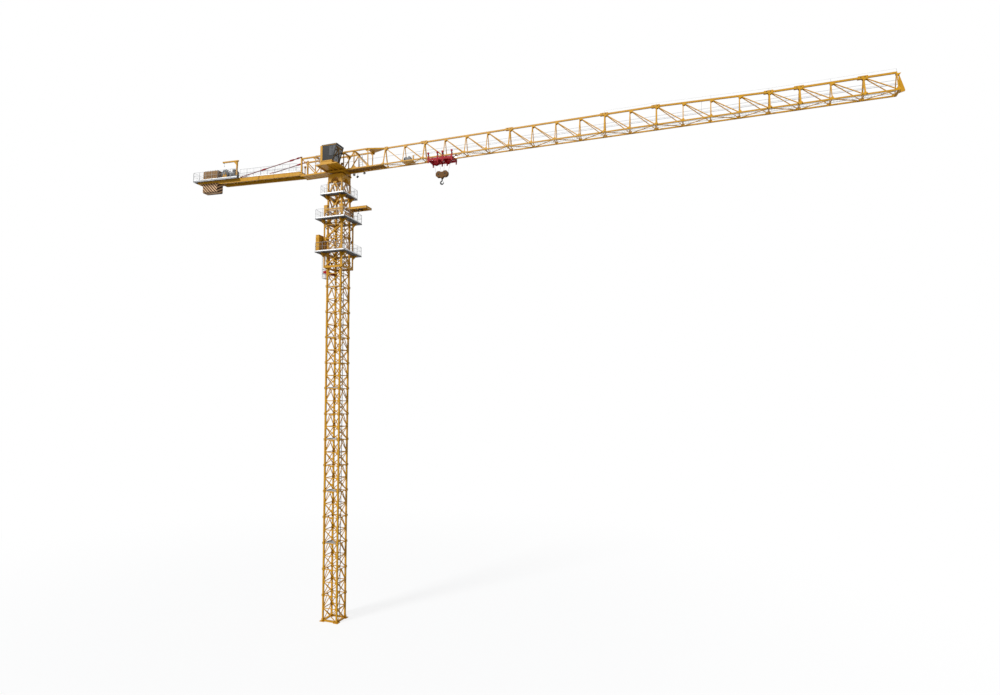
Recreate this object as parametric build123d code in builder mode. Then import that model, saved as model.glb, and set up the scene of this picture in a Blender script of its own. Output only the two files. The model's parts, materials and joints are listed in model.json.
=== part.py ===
"""Flat-top tower crane with a climbing frame, as a half-size model.

Every size is in millimetres at the model's own scale of one to two.
The origin is the centre of the mast's base frame on the ground, +Z is up and the jib runs to +X.
"""
from build123d import *
from math import atan, cos, radians, sin, sqrt, tan
import os

os.makedirs("parts", exist_ok=True)

# Sides of the polygons that stand for large and small round pieces
LARGE_ROUND = 24
MEDIUM_ROUND = 16
SMALL_ROUND = 12

# Mast
SECTION_HEIGHT = 1500
SECTION_COUNT = 16
MAST_PITCH = 910
MAST_CHORD = 90
COLLAR_STAND = 22
COLLAR_HEIGHT = 130
MAST_BRACE = 42
MAST_BRACE_THICK = 30
MAST_TOP = SECTION_HEIGHT * SECTION_COUNT
MAST_HALF = MAST_PITCH / 2
MAST_OUTER = MAST_HALF + MAST_CHORD / 2

# Base frame
FOOT_SIZE = 300
FOOT_THICK = 30
SILL_WIDTH = 110
SILL_HEIGHT = 90
ANCHOR_RADIUS = 12
ANCHOR_PITCH = 220

# Ladder inside the mast
LADDER_WIDTH = 220
LADDER_STILE = 26
LADDER_RUNG = 20
LADDER_RUNG_STEP = 1500
LADDER_GAP = 0.3
REST_SECTIONS = (3, 5, 7, 9, 11, 13)
REST_DECK_HALF = 340
REST_DECK_DEPTH = 420
REST_DECK_THICK = 20

# Climbing frame
CAGE_PITCH = 1200
CAGE_CHORD = 70
CAGE_BOTTOM = 20575
CAGE_HALF = CAGE_PITCH / 2
CAGE_OUTER = CAGE_HALF + CAGE_CHORD / 2
CAGE_BRACE = 40
CAGE_BRACE_THICK = 30
CAGE_BAYS = 4
CAGE_BEAM_HEIGHT = 120
CAGE_OPEN_BAYS = 1
SHOE_CLEARANCE = 5
SHOE_WIDTH = 70
SHOE_HEIGHT = 110
CORNER_BLOCK_HEIGHT = 300
CROWN_BEAM = 75
CLIMB_STROKE = 775

# Platforms and railings
PLATFORM_HALF = 1000
PLATFORM_THICK = 40
PLATFORM_LOW = 21480
PLATFORM_HIGH = 23440
RAIL_HEIGHT = 550
RAIL_TUBE = 22
TOE_HEIGHT = 80
PANEL_GAP = 10
RING_FENCE_BAYS = 2
BRACKET_DEPTH = 240
BRACKET_REACH = 290
BRACKET_THICK = 30

# Monorail for new mast sections
MONORAIL_REACH = 2030
MONORAIL_HALF_GAUGE = 270
MONORAIL_HEIGHT = 110
MONORAIL_WIDTH = 60

# Climbing jack
JACK_BORE_RADIUS = 34
JACK_WALL = 14
ROD_CLEARANCE = 4
JACK_OUTER_RADIUS = JACK_BORE_RADIUS + JACK_WALL
ROD_RADIUS = JACK_BORE_RADIUS - ROD_CLEARANCE
JACK_X = -(CAGE_HALF + CAGE_BRACE_THICK / 2 + JACK_OUTER_RADIUS)
JACK_BOTTOM = 20760
JACK_LENGTH = 1085
JACK_CAP = 60
JACK_CUT = 20
ROD_TOP_COVER = 120
STEP_Z = 20230
STEP_HEIGHT = 60
STEP_REACH = 60
YOKE_HEIGHT = 130
YOKE_HALF = 500
YOKE_DEPTH = 220

# Power pack and hanging platform
PACK_WIDTH = 240
PACK_LENGTH = 1080
PACK_HEIGHT = 1000
PACK_INSET = 40
PACK_PLINTH = 60
PACK_PLINTH_STEP = 15
PACK_ROOF = 25
HANGER_FLOOR = 20050
HANGER_LENGTH = 480
HANGER_WIDTH = 250
HANGER_CLEARANCE = 15

# Slewing support
SUPPORT_FRAME_TOP = 25700
SUPPORT_BOX_TOP = 26150
SUPPORT_BOX_HALF = 480
SUPPORT_ARCH_RADIUS = 260
SUPPORT_BRACE = 60
SUPPORT_PLATFORM_HALF = 800
SUPPORT_PLATFORM_Z = 24910
RING_RADIUS = 440
RING_HEIGHT = 50
RING_GAP = 0.3
RING_BORE = 330

# Slewing head
HEAD_BASE_HALF = 490
HEAD_CHORD = 80
HEAD_BRACE = 50
HEAD_BRACE_THICK = 40
HEAD_LATTICE_Y = 285
HEAD_STIFF_END = 1500
POST_X = -2475
HEAD_VERTICALS = (-1500, -525, 450, 1150, 2075)
ROOT_TWIN_END_X = 2075
JIB_START_X = 3045

# Jib
PANEL = 1250
JIB_PANELS = 20
JIB_HALF_GAUGE = 310
JIB_BOTTOM_Z = 26390
JIB_HEIGHT = 1044
JIB_TIP_HEIGHT = 890
TAPER_START_PANEL = 12
TAPER_END_PANEL = 16
TOP_CHORD = 76
BOTTOM_CHORD = 60
JIB_BRACE = 40
JIB_BRACE_THICK = 26
JIB_NOSE = 320
JOINT_PANELS = (0, 2, 6, 10, 12, 16, 17, 19)
JOINT_LENGTH = 300
JOINT_STAND = 12
JOINT_POST = 66
TROLLEY_WINCH_X = 4340
TROLLEY_WINCH_LENGTH = 560
TROLLEY_WINCH_HALF = 230
TROLLEY_WINCH_BASE = 40
TROLLEY_DRUM_RADIUS = 110
TROLLEY_ROPE_Z = 26760
ROPE_HANGER_X = 20150

# Counter-jib: places on the tail are measured from the end of the deep beams
COUNTER_MAIN_LENGTH = 6190
TAIL_LENGTH = 1800
TAIL_END = COUNTER_MAIN_LENGTH + TAIL_LENGTH
COUNTER_BAYS = 8
COUNTER_BRACE = 50
COUNTER_RISE_DEG = 2.0
COUNTER_BEAM_DEPTH = 225
COUNTER_BEAM_WIDTH = 80
COUNTER_TOP_Z = 26650
TAIL_FRAME_DEPTH = 120
TAIL_DECK_HALF = 560
TAIL_DECK_LEAD = 1550
TAIL_DECK_OVERHANG = 200
TAIL_DECK_START = COUNTER_MAIN_LENGTH - TAIL_DECK_LEAD
TAIL_DECK_END = TAIL_END + TAIL_DECK_OVERHANG
TAIL_RAIL_BAYS = 4
WALKWAY_HALF = 320
WALKWAY_RAIL_START = 300
WALKWAY_RAIL_BAYS = 5
DECK_THICK = 24

# Ballast
BALLAST_LEAD = 280
BALLAST_START = COUNTER_MAIN_LENGTH + BALLAST_LEAD
BALLAST_THICK = 188
BALLAST_COUNT = 6
BALLAST_GAP = 6
BALLAST_HALF_WIDTH = 268
BALLAST_HEIGHT = 1420
BALLAST_BELOW = 700
BALLAST_EAR = 90
BALLAST_EAR_HEIGHT = 160
BALLAST_CHAMFER = 60

# Tie rods
TIE_HALF_GAUGE = 365
TIE_SETBACK = 1700
TIE_FOOT = COUNTER_MAIN_LENGTH - TIE_SETBACK
TIE_DEPTH = 40
TIE_WIDTH = 30
TIE_LUG = 90
SLEEVE_PLACES = (0.05, 0.12, 0.5)
SLEEVE_LENGTHS = (190, 260, 300)
SLEEVE_DEPTH = 74
SLEEVE_WIDTH = 60

# Hoist winch and davit
WINCH_LEAD = 990
WINCH_START = COUNTER_MAIN_LENGTH - WINCH_LEAD
WINCH_WIDTH = 760
WINCH_BASE = 90
WINCH_STAND = 40
WINCH_LENGTH = 900
DRUM_RADIUS = 260
DRUM_FLANGE = 24
DRUM_WOUND_RADIUS = 215
DRUM_LENGTH = 560
DRUM_SETBACK = 640
DRUM_X = WINCH_START + DRUM_SETBACK
DRUM_AXLE_RISE = 290
DRUM_STAND_LENGTH = 420
DRUM_STAND_TOP = 150
DRUM_STAND_HEIGHT = 370
MOTOR_SETBACK = 170
MOTOR_X = WINCH_START + MOTOR_SETBACK
MOTOR_RADIUS = 150
MOTOR_RISE = 190
MOTOR_HALF_LENGTH = 180
BRAKE_RADIUS = 95
BRAKE_LENGTH = 70
GEARBOX_WIDTH = 110
GEARBOX_HEIGHT = 600
GEARBOX_LENGTH = 300
GEARBOX_CHAMFER = 70
DAVIT_SETBACK = 100
DAVIT_X = TAIL_DECK_START + DAVIT_SETBACK
DAVIT_SIDE = 470
DAVIT_SOCKET = 100
DAVIT_HEIGHT = 900
DAVIT_TUBE = 80
DAVIT_REACH = 1130
DAVIT_HEEL = 100
DAVIT_KNEE = 220
DAVIT_KNEE_WIDTH = 50
DAVIT_GAP = 0.3

# Cab
CAB_BACK_X = -475
CAB_LENGTH = 1100
CAB_FRONT_LEAN = 300
CAB_BACK_FRAME = 110
CAB_WIDTH = 720
CAB_BASE_HEIGHT = 110
CAB_HEIGHT = 950
CAB_SIDE_Y = 610
CAB_DECK_INNER_Y = -305
CAB_PILLAR = 50
CAB_SILL = 330
CAB_LINTEL = 880
CAB_DOOR_X = 60
PANE_THICK = 10
CAB_ROOF = 30
CAB_ROOF_OVERHANG = 20
CAB_DECK_THICK = 60
CAB_DECK_BACK_X = -800
CAB_BRACKET_PLACES = (-680, -80, 240)
CAB_BRACKET_THICK = 50
CAB_BRACKET_TIP = 25

# Trolley and hook
TROLLEY_X = 6650
TROLLEY_LENGTH = 1500
TROLLEY_DROP = 60
TROLLEY_BEAM = 120
TROLLEY_CROSS = 50
TROLLEY_PLATE = 20
TROLLEY_CLEARANCE = 6
WHEEL_PLACES = (-700, -150, 150, 700)
HANGER_PLATE = 80
HANGER_RISE = 120
HANGER_HEAD_RADIUS = 55
WHEEL_RADIUS = 60
WHEEL_WIDTH = 27
WHEEL_GAP = 0.3
ROPE_RADIUS = 8
ROPE_GAP = 0.3
FALL_OVERRUN = 36
TROLLEY_SHEAVE_X = 350
TROLLEY_SHEAVE_RADIUS = 150
SHEAVE_WIDTH = 40
SHEAVE_SIDE_GAP = 10
SHEAVE_AXLE_RADIUS = 25
BLOCK_TOP_Z = 25640
BLOCK_SHEAVE_X = 190
BLOCK_SHEAVE_RADIUS = 140
BLOCK_CHEEK = 50
BLOCK_CHEEK_MARGIN = 35
CHEEK_SIDES = 8
CROSSHEAD_HALF = 55
CROSSHEAD_HEIGHT = 150
CROSSHEAD_DROP = 60
HOOK_SHANK_RADIUS = 30
HOOK_SHANK = 150
HOOK_RADIUS = 115
HOOK_BOWL_RADIUS = 62
HOOK_BOWL_SHIFT = 14
HOOK_MOUTH = 95
HOOK_THICK = 44
HOOK_GAP = 0.3


SIDES = {"near": (0, -1), "right": (1, 0), "far": (0, 1), "left": (-1, 0)}


def lattice(segments, width):
    """Join flat bars of one width, along straight centre lines, into the open sketch."""
    bars = []
    for start, end in segments:
        run = Vector(*end) - Vector(*start)
        middle = (Vector(*end) + Vector(*start)) / 2
        flat_bar = Rectangle(run.length, width, mode=Mode.PRIVATE)
        turn = Vector(1, 0, 0).get_signed_angle(run, Vector(0, 0, 1))
        bars.append(flat_bar.moved(Location((middle.X, middle.Y, 0), (0, 0, turn))))
    add(bars)


def finish(piece, name):
    """Name a finished piece and write it."""
    piece.part.label = name
    export_step(piece.part, f"parts/{name}.step")


def box(low, high, mode=Mode.ADD):
    """Add the block between two opposite corners to the open part."""
    size = [high[i] - low[i] for i in range(3)]
    with Locations(tuple(low[i] + size[i] / 2 for i in range(3))):
        Box(*size, mode=mode)


def brackets(pitch, leg_face, deck_low):
    """Triangular brackets on the outer faces of four legs, two to a side, below a platform."""
    for normal_x, normal_y in SIDES.values():
        for place in (-pitch / 2, pitch / 2):
            bracket_plane = Plane(
                origin=(-normal_y * place, normal_x * place, deck_low),
                x_dir=(normal_x, normal_y, 0),
                z_dir=(normal_y, -normal_x, 0),
            )
            with BuildSketch(bracket_plane) as gusset:
                Polygon(
                    (leg_face, 0),
                    (leg_face + BRACKET_REACH, 0),
                    (leg_face, -BRACKET_DEPTH),
                    align=None,
                )
            extrude(gusset.sketch, amount=BRACKET_THICK / 2, both=True)


# Base frame: four foot plates joined by sills, with one flat underside
with BuildPart() as base_frame:
    with BuildSketch(Plane.XY) as feet:
        with GridLocations(MAST_PITCH, MAST_PITCH, 2, 2):
            Rectangle(FOOT_SIZE, FOOT_SIZE)
        for anchor_pitch in (MAST_PITCH + ANCHOR_PITCH, MAST_PITCH - ANCHOR_PITCH):
            with GridLocations(anchor_pitch, anchor_pitch, 2, 2):
                Circle(ANCHOR_RADIUS, mode=Mode.SUBTRACT)
    extrude(amount=FOOT_THICK)
    with BuildSketch(Plane.XY) as sills:
        Rectangle(MAST_PITCH + SILL_WIDTH, MAST_PITCH + SILL_WIDTH)
        Rectangle(MAST_PITCH - SILL_WIDTH, MAST_PITCH - SILL_WIDTH, mode=Mode.SUBTRACT)
        with GridLocations(MAST_PITCH, MAST_PITCH, 2, 2):
            Rectangle(FOOT_SIZE, FOOT_SIZE, mode=Mode.SUBTRACT)
    extrude(amount=SILL_HEIGHT)
finish(base_frame, "base_frame")

# Mast chords: square legs with a coupling collar at each section joint
COLLAR_SIZE = MAST_CHORD + COLLAR_STAND
COLLAR_LEVELS = [SECTION_HEIGHT * k - COLLAR_HEIGHT / 2 for k in range(1, SECTION_COUNT)]
with BuildPart() as mast_legs:
    with BuildSketch(Plane.XY.offset(FOOT_THICK)):
        with GridLocations(MAST_PITCH, MAST_PITCH, 2, 2):
            Rectangle(MAST_CHORD, MAST_CHORD)
    extrude(amount=MAST_TOP - FOOT_THICK)
    for level in [FOOT_THICK] + COLLAR_LEVELS + [MAST_TOP - COLLAR_HEIGHT]:
        with BuildSketch(Plane.XY.offset(level)):
            with GridLocations(MAST_PITCH + COLLAR_STAND, MAST_PITCH + COLLAR_STAND, 2, 2):
                Rectangle(COLLAR_SIZE, COLLAR_SIZE)
        extrude(amount=COLLAR_HEIGHT)
finish(mast_legs, "mast_legs")

# Mast sides: one flat lattice a side, a K bay above a cross bay in every section
MAST_CLEAR = MAST_PITCH - MAST_CHORD
with BuildPart() as section_lattice:
    with BuildSketch(Plane.XY) as section_bars:
        head_y = SECTION_HEIGHT - MAST_BRACE / 2
        middle_y = SECTION_HEIGHT / 2
        lattice(
            [
                ((-MAST_HALF, head_y), (MAST_HALF, head_y)),
                ((-MAST_HALF, middle_y), (0, head_y)),
                ((MAST_HALF, middle_y), (0, head_y)),
                ((-MAST_HALF, middle_y), (MAST_HALF, middle_y)),
                ((-MAST_HALF, 0), (MAST_HALF, middle_y)),
                ((MAST_HALF, 0), (-MAST_HALF, middle_y)),
            ],
            MAST_BRACE,
        )
        with Locations((0, SECTION_HEIGHT / 2)):
            Rectangle(MAST_CLEAR, SECTION_HEIGHT, mode=Mode.INTERSECT)
    extrude(amount=MAST_BRACE_THICK / 2, both=True)
with BuildPart() as side_lattice:
    with Locations([(0, SECTION_HEIGHT * k, 0) for k in range(SECTION_COUNT)]):
        add(section_lattice.part)
for side, (normal_x, normal_y) in SIDES.items():
    side_plane = Plane(
        origin=(normal_x * MAST_HALF, normal_y * MAST_HALF, 0),
        x_dir=(-normal_y, normal_x, 0),
        z_dir=(normal_x, normal_y, 0),
    )
    with BuildPart() as mast_side:
        add(side_plane.location * side_lattice.part)
        box((-MAST_PITCH, -MAST_PITCH, 0), (MAST_PITCH, MAST_PITCH, SILL_HEIGHT), Mode.SUBTRACT)
    finish(mast_side, f"mast_side_{side}")

# Ladder on the far side of the mast, with rest decks on the near side
with BuildPart() as ladder:
    with BuildSketch(Plane.XZ.offset(MAST_BRACE_THICK / 2 - MAST_HALF)) as ladder_bars:
        ladder_foot = SILL_HEIGHT + LADDER_GAP
        ladder_height = MAST_TOP - COLLAR_HEIGHT - ladder_foot
        with Locations((0, ladder_foot + ladder_height / 2)):
            with GridLocations(LADDER_WIDTH, 0, 2, 1):
                Rectangle(LADDER_STILE, ladder_height)
        rung_count = int(ladder_height // LADDER_RUNG_STEP)
        with Locations([(0, LADDER_RUNG_STEP * (k + 0.5)) for k in range(rung_count)]):
            Rectangle(LADDER_WIDTH, LADDER_RUNG)
    extrude(amount=LADDER_STILE)
finish(ladder, "ladder")

with BuildPart() as rest_decks:
    for section in REST_SECTIONS:
        deck_z = SECTION_HEIGHT * section
        deck_y = -MAST_HALF - MAST_BRACE_THICK / 2
        box(
            (-REST_DECK_HALF, deck_y, deck_z),
            (REST_DECK_HALF, deck_y + REST_DECK_DEPTH, deck_z + REST_DECK_THICK),
        )
finish(rest_decks, "rest_decks")

# Climbing jack: the rod and its yoke stay on the mast's steps while the barrel rises
YOKE_BOTTOM = STEP_Z + STEP_HEIGHT
YOKE_TOP = YOKE_BOTTOM + YOKE_HEIGHT
YOKE_BACK = -MAST_OUTER - YOKE_DEPTH
with BuildPart() as climbing_yoke:
    box((YOKE_BACK, -YOKE_HALF, YOKE_BOTTOM), (-MAST_OUTER, YOKE_HALF, YOKE_TOP))
    for leg_y in (-MAST_HALF, MAST_HALF):
        box(
            (-MAST_OUTER - STEP_REACH, leg_y - MAST_CHORD / 2, STEP_Z),
            (-MAST_OUTER, leg_y + MAST_CHORD / 2, YOKE_BOTTOM),
        )
finish(climbing_yoke, "climbing_yoke")
with BuildPart() as jack_rod:
    with BuildSketch(Plane.XY.offset(YOKE_TOP)):
        with Locations((JACK_X, 0)):
            RegularPolygon(ROD_RADIUS, SMALL_ROUND)
    extrude(amount=JACK_BOTTOM + CLIMB_STROKE + ROD_TOP_COVER - YOKE_TOP)
finish(jack_rod, "jack_rod")

with BuildPart() as jack_barrel:
    with BuildSketch(Plane.XY.offset(JACK_BOTTOM)):
        with Locations((JACK_X, 0)):
            RegularPolygon(JACK_OUTER_RADIUS, SMALL_ROUND)
            RegularPolygon(JACK_BORE_RADIUS, SMALL_ROUND, mode=Mode.SUBTRACT)
    extrude(amount=JACK_LENGTH)
    with BuildSketch(Plane.XY.offset(JACK_BOTTOM + JACK_LENGTH)):
        with Locations((JACK_X, 0)):
            RegularPolygon(JACK_OUTER_RADIUS, SMALL_ROUND)
    extrude(amount=JACK_CAP)
    box(
        (JACK_X - JACK_OUTER_RADIUS, -JACK_OUTER_RADIUS, JACK_BOTTOM + JACK_LENGTH),
        (-CAGE_HALF - CAGE_BRACE_THICK / 2, JACK_OUTER_RADIUS, JACK_BOTTOM + JACK_LENGTH + JACK_CAP),
    )
finish(jack_barrel, "jack_barrel")

# Climbing frame: four legs, and braced sides with guide shoes that run on the mast's legs
with BuildPart() as cage_legs:
    with BuildSketch(Plane.XY.offset(CAGE_BOTTOM)):
        with GridLocations(CAGE_PITCH, CAGE_PITCH, 2, 2):
            Rectangle(CAGE_CHORD, CAGE_CHORD)
    extrude(amount=MAST_TOP - CAGE_BOTTOM)
    for deck_top in (PLATFORM_LOW, PLATFORM_HIGH):
        brackets(CAGE_PITCH, CAGE_OUTER, deck_top - PLATFORM_THICK)
finish(cage_legs, "cage_legs")

CAGE_CLEAR = CAGE_PITCH - CAGE_CHORD
CAGE_BAY = (MAST_TOP - CAGE_BOTTOM - CAGE_BEAM_HEIGHT) / CAGE_BAYS
BEAM_MIDDLE = CAGE_BOTTOM + CAGE_BEAM_HEIGHT / 2
SHOE_FACE = MAST_OUTER + COLLAR_STAND + SHOE_CLEARANCE
SHOE_DEPTH = CAGE_HALF - CAGE_BRACE_THICK / 2 - SHOE_FACE
with BuildPart() as cage_sides:
    for side, (normal_x, normal_y) in SIDES.items():
        braced_bays = CAGE_OPEN_BAYS if side == "right" else CAGE_BAYS
        cage_plane = Plane(
            origin=(normal_x * CAGE_HALF, normal_y * CAGE_HALF, BEAM_MIDDLE),
            x_dir=(-normal_y, normal_x, 0),
            z_dir=(normal_x, normal_y, 0),
        )
        with BuildSketch(cage_plane):
            bars = []
            for bay in range(braced_bays):
                low = CAGE_BAY * bay
                high = low + CAGE_BAY
                bars.append(((-CAGE_HALF, low), (CAGE_HALF, high)))
                bars.append(((CAGE_HALF, low), (-CAGE_HALF, high)))
                bars.append(((-CAGE_HALF, high), (CAGE_HALF, high)))
            lattice(bars, CAGE_BRACE)
            Rectangle(CAGE_PITCH, CAGE_BEAM_HEIGHT)
            with Locations((0, CAGE_BAY * CAGE_BAYS / 2)):
                Rectangle(CAGE_CLEAR, CAGE_BAY * CAGE_BAYS + CAGE_BEAM_HEIGHT, mode=Mode.INTERSECT)
        extrude(amount=CAGE_BRACE_THICK / 2, both=True)
        with BuildSketch(cage_plane.offset(-CAGE_BRACE_THICK / 2)):
            with GridLocations(MAST_PITCH, 0, 2, 1):
                Rectangle(SHOE_WIDTH, SHOE_HEIGHT)
            with Locations((0, CAGE_BAY)):
                with GridLocations(MAST_PITCH, 0, 2, 1):
                    Rectangle(SHOE_WIDTH, SHOE_HEIGHT)
        extrude(amount=-SHOE_DEPTH)
finish(cage_sides, "cage_sides")

# Crown of the climbing frame: corner blocks on the mast's legs, joined by beams
CROWN_TOP = MAST_TOP + CORNER_BLOCK_HEIGHT
BLOCK_INNER = MAST_HALF - MAST_CHORD / 2
with BuildPart() as cage_crown:
    with BuildSketch(Plane.XY.offset(MAST_TOP)):
        with GridLocations(CAGE_OUTER + BLOCK_INNER, CAGE_OUTER + BLOCK_INNER, 2, 2):
            Rectangle(CAGE_OUTER - BLOCK_INNER, CAGE_OUTER - BLOCK_INNER)
    extrude(amount=CORNER_BLOCK_HEIGHT)
    with BuildSketch(Plane.XY.offset(MAST_TOP)):
        Rectangle(2 * CAGE_OUTER, 2 * CAGE_OUTER)
        Rectangle(2 * (CAGE_OUTER - CROWN_BEAM), 2 * (CAGE_OUTER - CROWN_BEAM), mode=Mode.SUBTRACT)
        with GridLocations(CAGE_OUTER + BLOCK_INNER, CAGE_OUTER + BLOCK_INNER, 2, 2):
            Rectangle(CAGE_OUTER - BLOCK_INNER, CAGE_OUTER - BLOCK_INNER, mode=Mode.SUBTRACT)
    extrude(amount=CROWN_BEAM)
finish(cage_crown, "cage_crown")

with BuildPart() as monorail:
    rail_start = CAGE_OUTER
    with BuildSketch(Plane.XY.offset(MAST_TOP)):
        with Locations(((rail_start + MONORAIL_REACH) / 2, 0)):
            with GridLocations(0, 2 * MONORAIL_HALF_GAUGE, 1, 2):
                Rectangle(MONORAIL_REACH - rail_start, MONORAIL_WIDTH)
        with Locations((MONORAIL_REACH - MONORAIL_WIDTH / 2, 0), ((rail_start + MONORAIL_REACH) / 2, 0)):
            Rectangle(MONORAIL_WIDTH, 2 * MONORAIL_HALF_GAUGE)
    extrude(amount=MONORAIL_HEIGHT)
finish(monorail, "monorail")


def ring_deck(half, inner, top, cut=None):
    """Four separate deck panels round a square hole, with their top at one level."""
    with BuildSketch(Plane.XY.offset(top - PLATFORM_THICK)) as panels:
        with GridLocations(0, half + inner, 1, 2):
            Rectangle(2 * half, half - inner)
        with GridLocations(half + inner, 0, 2, 1):
            Rectangle(half - inner, 2 * (inner - PANEL_GAP))
        if cut:
            with Locations((cut[0], 0)):
                Rectangle(cut[1], cut[2], mode=Mode.SUBTRACT)
    extrude(panels.sketch, amount=PLATFORM_THICK)


def fence(length, bays):
    """A flat railing in the open sketch: posts, a top rail and a toe board, centred on its length."""
    Rectangle(length, RAIL_HEIGHT, align=(Align.CENTER, Align.MIN))
    bay = (length - RAIL_TUBE) / bays
    rail_low = RAIL_HEIGHT - RAIL_TUBE
    with Locations([((k + 0.5 - bays / 2) * bay, (TOE_HEIGHT + rail_low) / 2) for k in range(bays)]):
        Rectangle(bay - RAIL_TUBE, rail_low - TOE_HEIGHT, mode=Mode.SUBTRACT)


def ring_fence(half, floor, bays):
    """Four railings along the edges of a square platform, apart at the corners."""
    for normal_x, normal_y in SIDES.values():
        edge = Plane(
            origin=(normal_x * half, normal_y * half, floor),
            x_dir=(-normal_y, normal_x, 0),
            z_dir=(normal_x, normal_y, 0),
        )
        with BuildSketch(edge) as fence_face:
            fence(2 * (half - RAIL_TUBE - PANEL_GAP), bays)
        extrude(fence_face.sketch, amount=-RAIL_TUBE)


with BuildPart() as deck_panels:
    jack_cut = (JACK_X, 2 * JACK_OUTER_RADIUS + JACK_CUT, 2 * JACK_OUTER_RADIUS + JACK_CUT)
    ring_deck(PLATFORM_HALF, CAGE_OUTER, PLATFORM_LOW, jack_cut)
    ring_deck(PLATFORM_HALF, CAGE_OUTER, PLATFORM_HIGH)
    ring_deck(SUPPORT_PLATFORM_HALF, MAST_OUTER, SUPPORT_PLATFORM_Z)
finish(deck_panels, "deck_panels")
with BuildPart() as deck_railings:
    ring_fence(PLATFORM_HALF, PLATFORM_LOW, RING_FENCE_BAYS)
    ring_fence(PLATFORM_HALF, PLATFORM_HIGH, RING_FENCE_BAYS)
    ring_fence(SUPPORT_PLATFORM_HALF, SUPPORT_PLATFORM_Z, RING_FENCE_BAYS)
finish(deck_railings, "deck_railings")

# Power pack on the low deck, and the small platform that hangs below it beside the yoke
with BuildPart() as power_pack:
    pack_low = -PLATFORM_HALF + PACK_INSET
    plinth_low = pack_low + PACK_PLINTH_STEP
    pack_right = plinth_low + PACK_WIDTH - 2 * PACK_PLINTH_STEP
    pack_far = plinth_low + PACK_LENGTH - 2 * PACK_PLINTH_STEP
    roof_low = PLATFORM_LOW + PACK_HEIGHT - PACK_ROOF
    box((plinth_low, plinth_low, PLATFORM_LOW), (pack_right, pack_far, roof_low))
    pack_doors = (PLATFORM_LOW + PACK_PLINTH, roof_low - PACK_PLINTH)
    for low, high in (pack_doors, (roof_low, roof_low + PACK_ROOF)):
        box((pack_low, pack_low, low), (pack_low + PACK_WIDTH, pack_low + PACK_LENGTH, high))
finish(power_pack, "power_pack")
with BuildPart() as hanging_platform:
    hanger_right = YOKE_BACK - HANGER_CLEARANCE
    hanger_left = hanger_right - HANGER_WIDTH
    hanger_near = -HANGER_LENGTH / 2
    box(
        (hanger_left, hanger_near, HANGER_FLOOR),
        (hanger_right, -hanger_near, HANGER_FLOOR + DECK_THICK),
    )
    hang_height = PLATFORM_LOW - PLATFORM_THICK - HANGER_FLOOR - DECK_THICK
    with BuildSketch(Plane.XY.offset(HANGER_FLOOR + DECK_THICK)):
        with Locations(((hanger_left + hanger_right) / 2, 0)):
            with GridLocations(HANGER_WIDTH - RAIL_TUBE, HANGER_LENGTH - RAIL_TUBE, 2, 2):
                Rectangle(RAIL_TUBE, RAIL_TUBE)
    extrude(amount=hang_height)
    for level in (HANGER_FLOOR + RAIL_HEIGHT / 2, HANGER_FLOOR + RAIL_HEIGHT):
        with BuildSketch(Plane.XY.offset(level)):
            with Locations(((hanger_left + hanger_right) / 2, 0)):
                Rectangle(HANGER_WIDTH, HANGER_LENGTH)
                Rectangle(HANGER_WIDTH - 2 * RAIL_TUBE, HANGER_LENGTH - 2 * RAIL_TUBE, mode=Mode.SUBTRACT)
        extrude(amount=RAIL_TUBE)
finish(hanging_platform, "hanging_platform")

# Slewing support: a braced frame on the crown, its platform, and a box that carries the ring
with BuildPart() as support_legs:
    with BuildSketch(Plane.XY.offset(CROWN_TOP)):
        with GridLocations(MAST_PITCH, MAST_PITCH, 2, 2):
            Rectangle(MAST_CHORD, MAST_CHORD)
    extrude(amount=SUPPORT_FRAME_TOP - CROWN_TOP)
    brackets(MAST_PITCH, MAST_OUTER, SUPPORT_PLATFORM_Z - PLATFORM_THICK)
finish(support_legs, "support_legs")
SUPPORT_MIDDLE = SUPPORT_PLATFORM_Z - PLATFORM_THICK - CROWN_TOP
SUPPORT_RISE = SUPPORT_FRAME_TOP - CROWN_TOP
with BuildPart() as support_braces:
    for normal_x, normal_y in SIDES.values():
        brace_plane = Plane(
            origin=(normal_x * MAST_HALF, normal_y * MAST_HALF, CROWN_TOP),
            x_dir=(-normal_y, normal_x, 0),
            z_dir=(normal_x, normal_y, 0),
        )
        with BuildSketch(brace_plane):
            lattice(
                [
                    ((-MAST_HALF, SUPPORT_MIDDLE), (0, 0)),
                    ((MAST_HALF, SUPPORT_MIDDLE), (0, 0)),
                    ((-MAST_HALF, SUPPORT_MIDDLE), (MAST_HALF, SUPPORT_MIDDLE)),
                    ((-MAST_HALF, SUPPORT_MIDDLE), (0, SUPPORT_RISE)),
                    ((MAST_HALF, SUPPORT_MIDDLE), (0, SUPPORT_RISE)),
                ],
                SUPPORT_BRACE,
            )
            with Locations((0, SUPPORT_RISE / 2)):
                Rectangle(MAST_CLEAR, SUPPORT_RISE, mode=Mode.INTERSECT)
        extrude(amount=SUPPORT_BRACE / 2, both=True)
finish(support_braces, "support_braces")
with BuildPart() as support_box:
    box(
        (-SUPPORT_BOX_HALF, -SUPPORT_BOX_HALF, SUPPORT_FRAME_TOP),
        (SUPPORT_BOX_HALF, SUPPORT_BOX_HALF, SUPPORT_BOX_TOP),
    )
    for arch_plane in (Plane.XZ, Plane.YZ):
        with BuildSketch(arch_plane):
            with Locations((0, SUPPORT_FRAME_TOP)):
                RegularPolygon(SUPPORT_ARCH_RADIUS, MEDIUM_ROUND)
        extrude(amount=SUPPORT_BOX_HALF, both=True, mode=Mode.SUBTRACT)
finish(support_box, "support_box")
RING_MIDDLE = SUPPORT_BOX_TOP + RING_HEIGHT
RING_LEVELS = {"slewing_ring_fixed": SUPPORT_BOX_TOP, "slewing_ring_turning": RING_MIDDLE + RING_GAP}
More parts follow.
